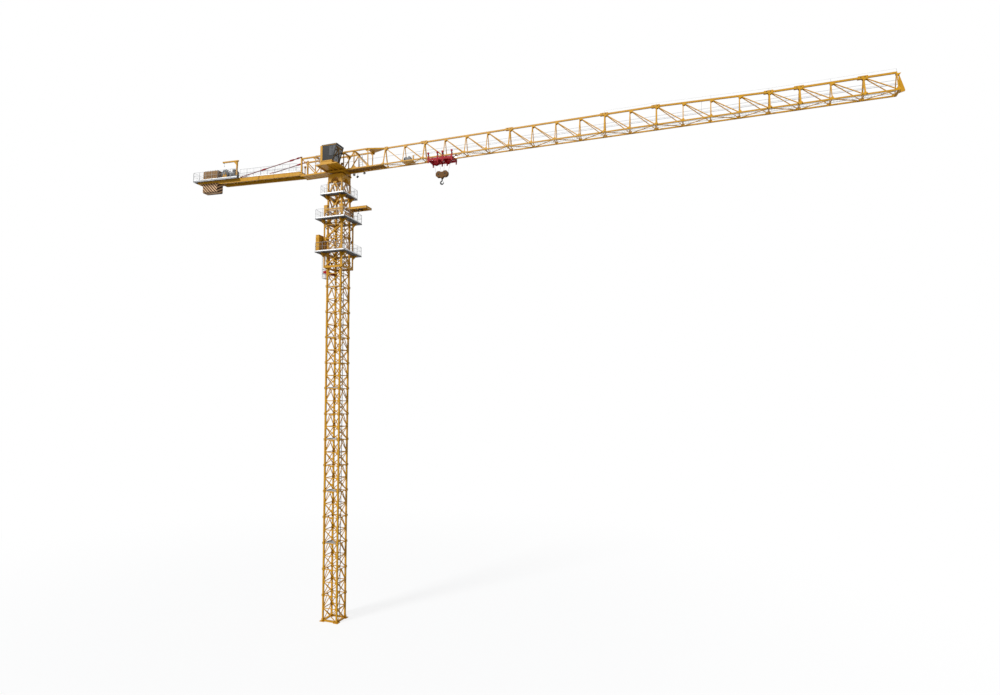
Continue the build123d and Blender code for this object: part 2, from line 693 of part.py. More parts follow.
for ring_name, ring_low in RING_LEVELS.items():
    with BuildPart() as slewing_ring:
        with BuildSketch(Plane.XY.offset(ring_low)):
            RegularPolygon(RING_RADIUS, LARGE_ROUND)
            RegularPolygon(RING_BORE, LARGE_ROUND, mode=Mode.SUBTRACT)
        extrude(amount=RING_HEIGHT)
    finish(slewing_ring, ring_name)

# Slewing head: platform on the ring, housing, lower chords, posts, side lattices and upper frame
HEAD_FLOOR = RING_MIDDLE + RING_GAP + RING_HEIGHT
HEAD_CHORD_LOW = JIB_BOTTOM_Z - HEAD_CHORD / 2
HEAD_CHORD_TOP = JIB_BOTTOM_Z + HEAD_CHORD / 2
TOP_CHORD_Z = JIB_BOTTOM_Z + JIB_HEIGHT
TOP_CHORD_LOW = TOP_CHORD_Z - TOP_CHORD / 2
with BuildPart() as slewing_platform:
    box((-HEAD_BASE_HALF, -HEAD_BASE_HALF, HEAD_FLOOR), (HEAD_BASE_HALF, HEAD_BASE_HALF, HEAD_CHORD_LOW))
    housing_half = JIB_HALF_GAUGE - HEAD_CHORD / 2
    housing_top = JIB_BOTTOM_Z + BOTTOM_CHORD / 2
    box((-HEAD_BASE_HALF, -housing_half, HEAD_CHORD_LOW), (HEAD_BASE_HALF, housing_half, housing_top))
finish(slewing_platform, "slewing_platform")
POST_FRONT = POST_X + HEAD_CHORD / 2
POST_BACK = POST_X - HEAD_CHORD / 2
CHORD_HALF = BOTTOM_CHORD / 2
with BuildPart() as head_lower_chords:
    with BuildSketch(Plane.XY.offset(HEAD_CHORD_LOW)):
        with Locations(((POST_FRONT + HEAD_STIFF_END) / 2, 0)):
            with GridLocations(0, 2 * JIB_HALF_GAUGE, 1, 2):
                Rectangle(HEAD_STIFF_END - POST_FRONT, HEAD_CHORD)
    extrude(amount=HEAD_CHORD)
    with BuildSketch(Plane.XY.offset(JIB_BOTTOM_Z - CHORD_HALF)):
        with Locations(((HEAD_STIFF_END + JIB_START_X) / 2, 0)):
            with GridLocations(0, 2 * JIB_HALF_GAUGE, 1, 2):
                Rectangle(JIB_START_X - HEAD_STIFF_END, BOTTOM_CHORD)
    extrude(amount=BOTTOM_CHORD)
finish(head_lower_chords, "head_lower_chords")
with BuildPart() as head_upper_frame:
    with BuildSketch(Plane.XY.offset(TOP_CHORD_LOW)):
        ties = [((x, -JIB_HALF_GAUGE), (x, JIB_HALF_GAUGE)) for x in HEAD_VERTICALS]
        twin = [((POST_BACK, y), (ROOT_TWIN_END_X, y)) for y in (-JIB_HALF_GAUGE, JIB_HALF_GAUGE)]
        lattice(ties + twin, TOP_CHORD)
        Polygon(
            (ROOT_TWIN_END_X - TOP_CHORD / 2, -JIB_HALF_GAUGE - TOP_CHORD / 2),
            (JIB_START_X, -TOP_CHORD / 2),
            (JIB_START_X, TOP_CHORD / 2),
            (ROOT_TWIN_END_X - TOP_CHORD / 2, JIB_HALF_GAUGE + TOP_CHORD / 2),
            align=None,
        )
    extrude(amount=TOP_CHORD)
    with BuildSketch(Plane.XY.offset(HEAD_CHORD_LOW)):
        with Locations((POST_X, 0)):
            with GridLocations(0, 2 * JIB_HALF_GAUGE, 1, 2):
                Rectangle(HEAD_CHORD, HEAD_CHORD)
    extrude(amount=TOP_CHORD_LOW - HEAD_CHORD_LOW)
    for side_y in (-1, 1):
        lug_y = side_y * (TIE_HALF_GAUGE - TIE_WIDTH)
        box(
            (POST_X - TIE_LUG / 2, lug_y - TIE_WIDTH / 2, TOP_CHORD_LOW + TOP_CHORD),
            (POST_X + TIE_LUG / 2, lug_y + TIE_WIDTH / 2, TOP_CHORD_LOW + TOP_CHORD + TIE_LUG),
        )
finish(head_upper_frame, "head_upper_frame")
LATTICE_LOW = JIB_BOTTOM_Z + CHORD_HALF
with BuildPart() as head_sides:
    for side_y in (-1, 1):
        with BuildSketch(Plane.XZ.offset(-side_y * HEAD_LATTICE_Y)):
            bars = [((x, LATTICE_LOW), (x, TOP_CHORD_LOW)) for x in HEAD_VERTICALS]
            stations = (POST_FRONT,) + HEAD_VERTICALS
            for k in range(len(stations) - 1):
                foot_z, head_z = (LATTICE_LOW, TOP_CHORD_LOW) if k % 2 else (TOP_CHORD_LOW, LATTICE_LOW)
                bars.append(((stations[k], foot_z), (stations[k + 1], head_z)))
            lattice(bars, HEAD_BRACE)
            with Locations(((POST_FRONT + JIB_START_X) / 2, (LATTICE_LOW + TOP_CHORD_LOW) / 2)):
                Rectangle(JIB_START_X - POST_FRONT, TOP_CHORD_LOW - LATTICE_LOW, mode=Mode.INTERSECT)
        extrude(amount=HEAD_BRACE_THICK / 2, both=True)
    add(head_lower_chords.part, mode=Mode.SUBTRACT)
finish(head_sides, "head_sides")

# Jib: one top chord that drops towards the tip, two lower chords, side and bottom lattices
JIB_END_X = JIB_START_X + PANEL * JIB_PANELS
TAPER_START_X = JIB_START_X + PANEL * TAPER_START_PANEL
TAPER_END_X = JIB_START_X + PANEL * TAPER_END_PANEL
TIP_TOP_Z = JIB_BOTTOM_Z + JIB_TIP_HEIGHT


def top_chord_z(x):
    """Height of the top chord's centre line at one place along the jib."""
    share = (x - TAPER_START_X) / (TAPER_END_X - TAPER_START_X)
    return TOP_CHORD_Z + (TIP_TOP_Z - TOP_CHORD_Z) * min(max(share, 0), 1)


with BuildPart() as jib_top_chord:
    half = TOP_CHORD / 2
    with BuildSketch(Plane.XZ):
        Polygon(
            (JIB_START_X, TOP_CHORD_Z - half),
            (TAPER_START_X, TOP_CHORD_Z - half),
            (TAPER_END_X, TIP_TOP_Z - half),
            (JIB_END_X + half, TIP_TOP_Z - half),
            (JIB_END_X + half, TIP_TOP_Z + half),
            (TAPER_END_X, TIP_TOP_Z + half),
            (TAPER_START_X, TOP_CHORD_Z + half),
            (JIB_START_X, TOP_CHORD_Z + half),
            align=None,
        )
    extrude(amount=half, both=True)
    for panel in JOINT_PANELS:
        joint_x = JIB_START_X + PANEL * panel
        joint_z = top_chord_z(joint_x)
        joint_half = half + JOINT_STAND
        box(
            (max(joint_x - JOINT_LENGTH / 2, JIB_START_X), -joint_half, joint_z - half),
            (joint_x + JOINT_LENGTH / 2, joint_half, joint_z + joint_half),
        )
finish(jib_top_chord, "jib_top_chord")
with BuildPart() as jib_lower_chords:
    with BuildSketch(Plane.XY.offset(JIB_BOTTOM_Z - CHORD_HALF)):
        with Locations(((JIB_START_X + JIB_END_X + CHORD_HALF) / 2, 0)):
            with GridLocations(0, 2 * JIB_HALF_GAUGE, 1, 2):
                Rectangle(JIB_END_X + CHORD_HALF - JIB_START_X, BOTTOM_CHORD)
    extrude(amount=BOTTOM_CHORD)
finish(jib_lower_chords, "jib_lower_chords")
side_lean = JIB_HALF_GAUGE / JIB_TIP_HEIGHT
LATTICE_FOOT_Y = JIB_HALF_GAUGE - CHORD_HALF + JIB_BRACE_THICK / 2 * (sqrt(1 + side_lean**2) + side_lean)
BAR_ALIGN = (Align.MIN, Align.CENTER, Align.CENTER)
bars = []
for side_y in (-1, 1):
    for panel in range(JIB_PANELS + 1):
        post_width = JOINT_POST if panel in JOINT_PANELS else JIB_BRACE
        node_x = JIB_START_X + PANEL * panel + post_width / 2
        foot = Vector(node_x, side_y * LATTICE_FOOT_Y, JIB_BOTTOM_Z)
        head = Vector(node_x, side_y * JIB_BRACE_THICK / 2, top_chord_z(node_x))
        runs = [(foot, head, post_width)]
        if panel < JIB_PANELS:
            runs.append((head, foot + Vector(PANEL, 0, 0), JIB_BRACE))
        for start, end, width in runs:
            along = end - start
            bar_plane = Plane(origin=start, x_dir=along, z_dir=Vector(1, 0, 0).cross(head - foot))
            bar = Box(along.length, width, JIB_BRACE_THICK, align=BAR_ALIGN, mode=Mode.PRIVATE)
            bars.append(bar_plane.location * bar)
with BuildPart() as jib_sides:
    add(bars)
    add(jib_top_chord.part, mode=Mode.SUBTRACT)
    add(jib_lower_chords.part, mode=Mode.SUBTRACT)
finish(jib_sides, "jib_sides")
with BuildPart() as jib_bottom_bracing:
    with BuildSketch(Plane.XY.offset(JIB_BOTTOM_Z - JIB_BRACE_THICK / 2)):
        stations = [JIB_START_X + PANEL * k for k in range(JIB_PANELS + 1)]
        bars = [((x, -JIB_HALF_GAUGE), (x, JIB_HALF_GAUGE)) for x in stations]
        for k in range(JIB_PANELS):
            turn = JIB_HALF_GAUGE if k % 2 else -JIB_HALF_GAUGE
            bars.append(((stations[k], turn), (stations[k + 1], -turn)))
        lattice(bars, JIB_BRACE)
        with Locations(((JIB_START_X + JIB_END_X + CHORD_HALF) / 2, 0)):
            bracing_length = JIB_END_X + CHORD_HALF - JIB_START_X
            Rectangle(bracing_length, 2 * JIB_HALF_GAUGE - BOTTOM_CHORD, mode=Mode.INTERSECT)
    extrude(amount=JIB_BRACE_THICK)
finish(jib_bottom_bracing, "jib_bottom_bracing")
with BuildPart() as jib_tip:
    box(
        (JIB_END_X + CHORD_HALF, -JIB_HALF_GAUGE - CHORD_HALF, JIB_BOTTOM_Z - CHORD_HALF),
        (JIB_END_X + CHORD_HALF + BOTTOM_CHORD, JIB_HALF_GAUGE + CHORD_HALF, JIB_BOTTOM_Z + CHORD_HALF),
    )
    with BuildSketch(Plane.XZ):
        tip_x = JIB_END_X + CHORD_HALF + BOTTOM_CHORD
        Polygon(
            (tip_x, JIB_BOTTOM_Z - CHORD_HALF),
            (JIB_END_X + JIB_NOSE, JIB_BOTTOM_Z + CHORD_HALF),
            (JIB_END_X + JIB_NOSE, JIB_BOTTOM_Z + 3 * CHORD_HALF),
            (tip_x, TIP_TOP_Z - TOP_CHORD / 2),
            align=None,
        )
    extrude(amount=JIB_BRACE / 2, both=True)
    add(jib_sides.part, mode=Mode.SUBTRACT)
finish(jib_tip, "jib_tip")

# Trolley winch on the jib's bottom bracing, and its rope along the inside of the jib
WINCH_FLOOR_Z = JIB_BOTTOM_Z + JIB_BRACE_THICK / 2
with BuildPart() as trolley_winch:
    box(
        (TROLLEY_WINCH_X, -TROLLEY_WINCH_HALF, WINCH_FLOOR_Z),
        (TROLLEY_WINCH_X + TROLLEY_WINCH_LENGTH, TROLLEY_WINCH_HALF, WINCH_FLOOR_Z + TROLLEY_WINCH_BASE),
    )
    with BuildSketch(Plane.XZ):
        drum_z = WINCH_FLOOR_Z + TROLLEY_WINCH_BASE + TROLLEY_DRUM_RADIUS
        with Locations((TROLLEY_WINCH_X + TROLLEY_DRUM_RADIUS, drum_z)):
            RegularPolygon(TROLLEY_DRUM_RADIUS, MEDIUM_ROUND)
            Rectangle(TROLLEY_DRUM_RADIUS, TROLLEY_DRUM_RADIUS, align=(Align.CENTER, Align.MAX))
    extrude(amount=TROLLEY_WINCH_HALF / 2, both=True)
    guide_x = TROLLEY_WINCH_X + TROLLEY_WINCH_LENGTH
    box(
        (guide_x - 2 * JIB_BRACE, -JIB_BRACE / 2, WINCH_FLOOR_Z + TROLLEY_WINCH_BASE),
        (guide_x, JIB_BRACE / 2, TROLLEY_ROPE_Z + JIB_BRACE / 2),
    )
finish(trolley_winch, "trolley_winch")
with BuildPart() as trolley_rope:
    rope_end_x = JIB_END_X + CHORD_HALF + BOTTOM_CHORD
    box(
        (guide_x, -ROPE_RADIUS, TROLLEY_ROPE_Z - ROPE_RADIUS),
        (rope_end_x, ROPE_RADIUS, TROLLEY_ROPE_Z + ROPE_RADIUS),
    )
    box(
        (ROPE_HANGER_X - ROPE_RADIUS, -ROPE_RADIUS, TROLLEY_ROPE_Z),
        (ROPE_HANGER_X + ROPE_RADIUS, ROPE_RADIUS, top_chord_z(ROPE_HANGER_X)),
    )
    add(jib_top_chord.part, mode=Mode.SUBTRACT)
finish(trolley_rope, "trolley_rope")

# Counter-jib: two deep beams that rise gently to the tail, made in their own sloping frame
rise = radians(COUNTER_RISE_DEG)
COUNTER_ORIGIN = (POST_BACK, 0, COUNTER_TOP_Z)
counter_plane = Plane(COUNTER_ORIGIN, x_dir=(-cos(rise), 0, sin(rise)), z_dir=(sin(rise), 0, cos(rise)))
counter_side = Plane(COUNTER_ORIGIN, x_dir=(-cos(rise), 0, sin(rise)), z_dir=(0, 1, 0))
BEAM_INNER = JIB_HALF_GAUGE - COUNTER_BEAM_WIDTH / 2


def tail_cut(along, height):
    """A plane across the counter-jib, square to its slope, that faces the tail."""
    place = counter_plane.from_local_coords((along, 0, height))
    return Plane(origin=place, x_dir=(0, -1, 0), z_dir=counter_plane.x_dir)


with BuildPart() as counter_beams:
    for side_y in (-1, 1):
        with BuildSketch(counter_side.offset(side_y * JIB_HALF_GAUGE)):
            Polygon(
                (0, 0),
                (TAIL_END, 0),
                (TAIL_END, -TAIL_FRAME_DEPTH),
                (COUNTER_MAIN_LENGTH + COUNTER_BEAM_DEPTH, -TAIL_FRAME_DEPTH),
                (COUNTER_MAIN_LENGTH, -COUNTER_BEAM_DEPTH),
                (-COUNTER_BEAM_DEPTH * tan(rise), -COUNTER_BEAM_DEPTH),
                align=None,
            )
        extrude(amount=COUNTER_BEAM_WIDTH / 2, both=True)
        with BuildSketch(counter_side.offset(side_y * (TIE_HALF_GAUGE - TIE_WIDTH))):
            with Locations((TIE_FOOT, TIE_LUG / 2)):
                Rectangle(TIE_LUG, TIE_LUG)
        extrude(amount=TIE_WIDTH / 2, both=True)
finish(counter_beams, "counter_beams")
with BuildPart() as counter_bracing:
    with BuildSketch(counter_plane.offset(-TAIL_FRAME_DEPTH)):
        bay = COUNTER_MAIN_LENGTH / COUNTER_BAYS
        stations = [bay * k for k in range(1, COUNTER_BAYS + 1)]
        bars = [((x, -JIB_HALF_GAUGE), (x, JIB_HALF_GAUGE)) for x in stations]
        for k in range(COUNTER_BAYS - 1):
            turn = JIB_HALF_GAUGE if k % 2 else -JIB_HALF_GAUGE
            bars.append(((stations[k], turn), (stations[k + 1], -turn)))
        lattice(bars, COUNTER_BRACE)
        with Locations((TAIL_END / 2, 0)):
            Rectangle(2 * TAIL_END, 2 * BEAM_INNER, mode=Mode.INTERSECT)
    extrude(amount=COUNTER_BRACE)
    with BuildSketch(counter_plane.offset(-TAIL_FRAME_DEPTH)):
        with Locations((TAIL_END - COUNTER_BRACE, 0)):
            Rectangle(2 * COUNTER_BRACE, 2 * BEAM_INNER)
    extrude(amount=TAIL_FRAME_DEPTH)
finish(counter_bracing, "counter_bracing")
BALLAST_END = BALLAST_START + BALLAST_COUNT * (BALLAST_THICK + BALLAST_GAP) - BALLAST_GAP
BALLAST_EAR_HALF = BALLAST_HALF_WIDTH + BALLAST_EAR
with BuildPart() as counter_deck:
    with BuildSketch(counter_plane):
        with Locations((TAIL_DECK_START / 2, 0)):
            Rectangle(TAIL_DECK_START - 2 * PANEL_GAP, 2 * WALKWAY_HALF)
        with Locations(((TAIL_DECK_START + TAIL_DECK_END) / 2, 0)):
            Rectangle(TAIL_DECK_END - TAIL_DECK_START, 2 * TAIL_DECK_HALF)
        with Locations(((BALLAST_START + BALLAST_END) / 2, 0)):
            hole_length = BALLAST_END - BALLAST_START + 2 * PANEL_GAP
            Rectangle(hole_length, 2 * (BALLAST_EAR_HALF + PANEL_GAP), mode=Mode.SUBTRACT)
    extrude(amount=DECK_THICK)
    with BuildSketch(counter_plane.offset(DECK_THICK)):
        with Locations((DAVIT_X, DAVIT_SIDE)):
            Rectangle(DAVIT_SOCKET, DAVIT_SOCKET)
    extrude(amount=DAVIT_SOCKET)
finish(counter_deck, "counter_deck")
with BuildPart() as counter_railings:
    for side_y in (-1, 1):
        rail_y = side_y * (WALKWAY_HALF - RAIL_TUBE / 2)
        with BuildSketch(counter_side.offset(rail_y)):
            with Locations((WALKWAY_RAIL_START + (TAIL_DECK_START - WALKWAY_RAIL_START) / 2, DECK_THICK)):
                fence(TAIL_DECK_START - WALKWAY_RAIL_START - 2 * PANEL_GAP, WALKWAY_RAIL_BAYS)
        extrude(amount=RAIL_TUBE / 2, both=True)
    for side_y in (-1, 1):
        rail_y = side_y * (TAIL_DECK_HALF - RAIL_TUBE / 2)
        with BuildSketch(counter_side.offset(rail_y)):
            with Locations(((TAIL_DECK_START + TAIL_DECK_END) / 2, DECK_THICK)):
                fence(TAIL_DECK_END - TAIL_DECK_START, TAIL_RAIL_BAYS)
        extrude(amount=RAIL_TUBE / 2, both=True)
    with BuildSketch(tail_cut(TAIL_DECK_END - RAIL_TUBE, DECK_THICK)):
        fence(2 * (TAIL_DECK_HALF - RAIL_TUBE - PANEL_GAP), RING_FENCE_BAYS)
    extrude(amount=RAIL_TUBE)
finish(counter_railings, "counter_railings")

# Ballast: slabs that hang between the tail beams from ears on their tops
with BuildPart() as ballast_slabs:
    for k in range(BALLAST_COUNT):
        slab_start = BALLAST_START + k * (BALLAST_THICK + BALLAST_GAP)
        slab_face = tail_cut(slab_start, 0)
        with BuildSketch(slab_face):
            with Locations((0, -BALLAST_BELOW)):
                Rectangle(2 * BALLAST_HALF_WIDTH, BALLAST_HEIGHT, align=(Align.CENTER, Align.MIN))
            chamfer(vertices(), BALLAST_CHAMFER)
            Rectangle(2 * BALLAST_EAR_HALF, BALLAST_EAR_HEIGHT, align=(Align.CENTER, Align.MIN))
        extrude(amount=BALLAST_THICK)
finish(ballast_slabs, "ballast_slabs")

# Tie rods from the posts to the counter-jib beams
tie_head = Vector(POST_X, 0, TOP_CHORD_LOW + TOP_CHORD + TIE_LUG / 2)
tie_foot = counter_plane.from_local_coords((TIE_FOOT, 0, TIE_LUG / 2))
tie_run = tie_foot - tie_head
with BuildPart() as tie_rods:
    for side_y in (-1, 1):
        tie_plane = Plane.XZ.offset(-side_y * TIE_HALF_GAUGE)
        with BuildSketch(tie_plane):
            lattice([((tie_foot.X, tie_foot.Z), (tie_head.X, tie_head.Z))], TIE_DEPTH)
        extrude(amount=TIE_WIDTH / 2, both=True)
        sleeves = []
        for share, length in zip(SLEEVE_PLACES, SLEEVE_LENGTHS):
            middle = tie_head + tie_run * share
            half_run = tie_run.normalized() * (length / 2)
            start, end = middle - half_run, middle + half_run
            sleeves.append(((start.X, start.Z), (end.X, end.Z)))
        with BuildSketch(tie_plane):
            lattice(sleeves, SLEEVE_DEPTH)
        extrude(amount=SLEEVE_WIDTH / 2, both=True)
finish(tie_rods, "tie_rods")

# Hoist winch on the tail deck
with BuildPart() as winch_frame:
    with BuildSketch(counter_plane.offset(DECK_THICK)):
        with Locations((WINCH_START + WINCH_LENGTH / 2, 0)):
            Rectangle(WINCH_LENGTH, WINCH_WIDTH)
    extrude(amount=WINCH_BASE)
    for side_y in (-1, 1):
        stand_y = side_y * (DRUM_LENGTH / 2 + WINCH_STAND / 2)
        with BuildSketch(counter_side.offset(stand_y)):
            stand_low = DECK_THICK + WINCH_BASE
            Polygon(
                (DRUM_X - DRUM_STAND_LENGTH / 2, stand_low),
                (DRUM_X + DRUM_STAND_LENGTH / 2, stand_low),
                (DRUM_X + DRUM_STAND_TOP / 2, stand_low + DRUM_STAND_HEIGHT),
                (DRUM_X - DRUM_STAND_TOP / 2, stand_low + DRUM_STAND_HEIGHT),
                align=None,
            )
        extrude(amount=WINCH_STAND / 2, both=True)
finish(winch_frame, "winch_frame")
with BuildPart() as winch_drum:
    drum_place = (DRUM_X, DECK_THICK + WINCH_BASE + DRUM_AXLE_RISE)
    with BuildSketch(counter_side):
        with Locations(drum_place):
            RegularPolygon(DRUM_WOUND_RADIUS, LARGE_ROUND)
    extrude(amount=DRUM_LENGTH / 2, both=True)
    for flange_y in (-DRUM_LENGTH / 2, DRUM_LENGTH / 2 - DRUM_FLANGE):
        with BuildSketch(counter_side.offset(flange_y)):
            with Locations(drum_place):
                RegularPolygon(DRUM_RADIUS, LARGE_ROUND)
        extrude(amount=DRUM_FLANGE)
finish(winch_drum, "winch_drum")
with BuildPart() as winch_motor:
    motor_low = DECK_THICK + WINCH_BASE
    brake_end = MOTOR_HALF_LENGTH + BRAKE_LENGTH
    for radius, half_length in ((MOTOR_RADIUS, MOTOR_HALF_LENGTH), (BRAKE_RADIUS, brake_end)):
        with BuildSketch(counter_side):
            with Locations((MOTOR_X, motor_low + MOTOR_RISE)):
                RegularPolygon(radius, MEDIUM_ROUND)
        extrude(amount=half_length, both=True)
    with BuildSketch(counter_side):
        Polygon(
            (MOTOR_X - MOTOR_RADIUS / 2, motor_low),
            (MOTOR_X + MOTOR_RADIUS / 2, motor_low),
            (MOTOR_X + MOTOR_RADIUS / 2, motor_low + MOTOR_RISE),
            (MOTOR_X - MOTOR_RADIUS / 2, motor_low + MOTOR_RISE),
            align=None,
        )
    extrude(amount=MOTOR_HALF_LENGTH, both=True)
    with BuildSketch(counter_side.offset(MOTOR_HALF_LENGTH)):
        with Locations((MOTOR_X, motor_low + GEARBOX_HEIGHT / 2)):
            Rectangle(GEARBOX_LENGTH, GEARBOX_HEIGHT)
        chamfer(vertices(), GEARBOX_CHAMFER)
    extrude(amount=GEARBOX_WIDTH)
finish(winch_motor, "winch_motor")

# Davit: a turning post and arm for lifting loads onto the tail deck
with BuildPart() as davit:
    davit_low = DECK_THICK + DAVIT_SOCKET + DAVIT_GAP
    with BuildSketch(counter_plane.offset(davit_low)):
        with Locations((DAVIT_X, DAVIT_SIDE)):
            Rectangle(DAVIT_TUBE, DAVIT_TUBE)
    extrude(amount=DAVIT_HEIGHT)
    arm_start = DAVIT_X - DAVIT_HEEL
    with BuildSketch(counter_plane.offset(davit_low + DAVIT_HEIGHT)):
        with Locations(((arm_start + DAVIT_X + DAVIT_REACH) / 2, DAVIT_SIDE)):
            Rectangle(DAVIT_X + DAVIT_REACH - arm_start, DAVIT_TUBE)
    extrude(amount=DAVIT_TUBE)
    with BuildSketch(counter_side.offset(-DAVIT_SIDE)):
        Polygon(
            (DAVIT_X + DAVIT_TUBE / 2, davit_low + DAVIT_HEIGHT),
            (DAVIT_X + DAVIT_TUBE / 2, davit_low + DAVIT_HEIGHT - DAVIT_KNEE),
            (DAVIT_X + DAVIT_TUBE / 2 + DAVIT_KNEE, davit_low + DAVIT_HEIGHT),
            align=None,
        )
    extrude(amount=DAVIT_KNEE_WIDTH / 2, both=True)
finish(davit, "davit")

# Cab beside the slewing head: a deck on tapered brackets, a back frame, and a front that leans in below
CAB_FRONT_X = CAB_BACK_X + CAB_LENGTH
CAB_DECK_TOP = HEAD_CHORD_TOP + CAB_DECK_THICK
CAB_FLOOR_Z = CAB_DECK_TOP + CAB_BASE_HEIGHT
CAB_ROOF_Z = CAB_FLOOR_Z + CAB_HEIGHT
CAB_NEAR_Y = -CAB_SIDE_Y - CAB_WIDTH
CAB_MIDDLE_Y = -CAB_SIDE_Y - CAB_WIDTH / 2
CAB_BODY_X = CAB_BACK_X + CAB_BACK_FRAME
CHORD_SIDE_Y = -JIB_HALF_GAUGE - HEAD_CHORD / 2


def front_x(height):
    """Where the cab's leaning front is, at one height above the floor."""
    return CAB_FRONT_X - CAB_FRONT_LEAN * (1 - height / CAB_HEIGHT)


with BuildPart() as cab_deck:
    box((CAB_DECK_BACK_X, CAB_NEAR_Y, HEAD_CHORD_TOP), (CAB_FRONT_X, CAB_DECK_INNER_Y, CAB_DECK_TOP))
    box((CAB_BODY_X, CAB_NEAR_Y, CAB_DECK_TOP), (front_x(0), -CAB_SIDE_Y, CAB_FLOOR_Z))
    box((CAB_BACK_X, CAB_NEAR_Y, CAB_DECK_TOP), (CAB_BODY_X, -CAB_SIDE_Y, CAB_ROOF_Z))
    for bracket_x in CAB_BRACKET_PLACES:
        with BuildSketch(Plane.YZ.offset(bracket_x)):
            Polygon(
                (CHORD_SIDE_Y, HEAD_CHORD_TOP),
                (CHORD_SIDE_Y, HEAD_CHORD_LOW),
                (CAB_NEAR_Y, HEAD_CHORD_TOP - CAB_BRACKET_TIP),
                (CAB_NEAR_Y, HEAD_CHORD_TOP),
                align=None,
            )
        extrude(amount=CAB_BRACKET_THICK / 2, both=True)
finish(cab_deck, "cab_deck")
cab_front = Plane(
    origin=(front_x(CAB_HEIGHT / 2), CAB_MIDDLE_Y, CAB_FLOOR_Z + CAB_HEIGHT / 2),
    x_dir=(0, 1, 0),
    z_dir=(CAB_HEIGHT, 0, -CAB_FRONT_LEAN),
)
FRONT_SLOPE = sqrt(CAB_HEIGHT**2 + CAB_FRONT_LEAN**2)


def panes(mode):
    """Add or cut the cab's window panes, each let into its wall."""
    for wall_y in (CAB_NEAR_Y, -CAB_SIDE_Y - PANE_THICK):
        with BuildSketch(Plane.XZ.offset(-wall_y)) as side_pane:
            Polygon(
                (CAB_DOOR_X + CAB_PILLAR, CAB_FLOOR_Z + CAB_SILL),
                (front_x(CAB_SILL) - CAB_PILLAR, CAB_FLOOR_Z + CAB_SILL),
                (front_x(CAB_LINTEL) - CAB_PILLAR, CAB_FLOOR_Z + CAB_LINTEL),
                (CAB_DOOR_X + CAB_PILLAR, CAB_FLOOR_Z + CAB_LINTEL),
                align=None,
            )
        extrude(side_pane.sketch, amount=-PANE_THICK, mode=mode)
    with BuildSketch(cab_front) as front_pane:
        Rectangle(CAB_WIDTH - 2 * CAB_PILLAR, FRONT_SLOPE - 2 * CAB_PILLAR)
    extrude(front_pane.sketch, amount=-PANE_THICK, mode=mode)


with BuildPart() as cab_body:
    with BuildSketch(Plane.XZ.offset(CAB_SIDE_Y)):
        Polygon(
            (CAB_BODY_X, CAB_FLOOR_Z),
            (front_x(0), CAB_FLOOR_Z),
            (CAB_FRONT_X, CAB_ROOF_Z),
            (CAB_BODY_X, CAB_ROOF_Z),
            align=None,
        )
    extrude(amount=CAB_WIDTH)
    box(
        (CAB_BODY_X, CAB_NEAR_Y - CAB_ROOF_OVERHANG, CAB_ROOF_Z),
        (CAB_FRONT_X + CAB_ROOF_OVERHANG, CAB_ROOF_OVERHANG - CAB_SIDE_Y, CAB_ROOF_Z + CAB_ROOF),
    )
    panes(Mode.SUBTRACT)
finish(cab_body, "cab_body")
with BuildPart() as cab_glazing:
    panes(Mode.ADD)
finish(cab_glazing, "cab_glazing")

# Trolley: side plates outside the lower chords, wheels on the chords, and a frame below them
CHORD_TOP_Z = JIB_BOTTOM_Z + CHORD_HALF
WHEEL_Z = CHORD_TOP_Z + WHEEL_GAP + WHEEL_RADIUS
SIDE_INNER = JIB_HALF_GAUGE + CHORD_HALF + TROLLEY_CLEARANCE
TROLLEY_TOP = JIB_BOTTOM_Z - CHORD_HALF - TROLLEY_DROP
TROLLEY_LOW = TROLLEY_TOP - TROLLEY_BEAM
HANGER_HEIGHT = WHEEL_Z + HANGER_RISE - TROLLEY_LOW
with BuildPart() as trolley_sides:
    for side_y in (-1, 1):
        with BuildSketch(Plane.XZ.offset(-side_y * (SIDE_INNER + TROLLEY_PLATE / 2))):
            with Locations((TROLLEY_X, TROLLEY_TOP - TROLLEY_BEAM / 2)):
                Rectangle(TROLLEY_LENGTH, TROLLEY_BEAM)
            with Locations([(TROLLEY_X + x, TROLLEY_LOW) for x in WHEEL_PLACES]):
                Rectangle(HANGER_PLATE, HANGER_HEIGHT, align=(Align.CENTER, Align.MIN))
            with Locations([(TROLLEY_X + x, TROLLEY_LOW + HANGER_HEIGHT) for x in WHEEL_PLACES]):
                RegularPolygon(HANGER_HEAD_RADIUS, SMALL_ROUND)
        extrude(amount=TROLLEY_PLATE / 2, both=True)
finish(trolley_sides, "trolley_sides")
with BuildPart() as trolley_wheels:
    for side_y in (-1, 1):
        with BuildSketch(Plane.XZ.offset(-side_y * SIDE_INNER)):
            with Locations([(TROLLEY_X + x, WHEEL_Z) for x in WHEEL_PLACES]):
                RegularPolygon(WHEEL_RADIUS, SMALL_ROUND)
        extrude(amount=side_y * (WHEEL_WIDTH + TROLLEY_CLEARANCE))
finish(trolley_wheels, "trolley_wheels")
SLOT_HALF = SHEAVE_WIDTH / 2 + SHEAVE_SIDE_GAP


def sheave_and_axle(from_middle, height, sheave_radius, axle_half):
    """Two sheaves, one each side of the trolley's middle, with axles through the plates beside them."""
    for radius, half_width in ((sheave_radius, SHEAVE_WIDTH / 2), (SHEAVE_AXLE_RADIUS, axle_half)):
        with BuildSketch(Plane.XZ) as rounds:
            with Locations([(TROLLEY_X + x, height) for x in (-from_middle, from_middle)]):
                RegularPolygon(radius, MEDIUM_ROUND)
        extrude(rounds.sketch, amount=half_width, both=True)


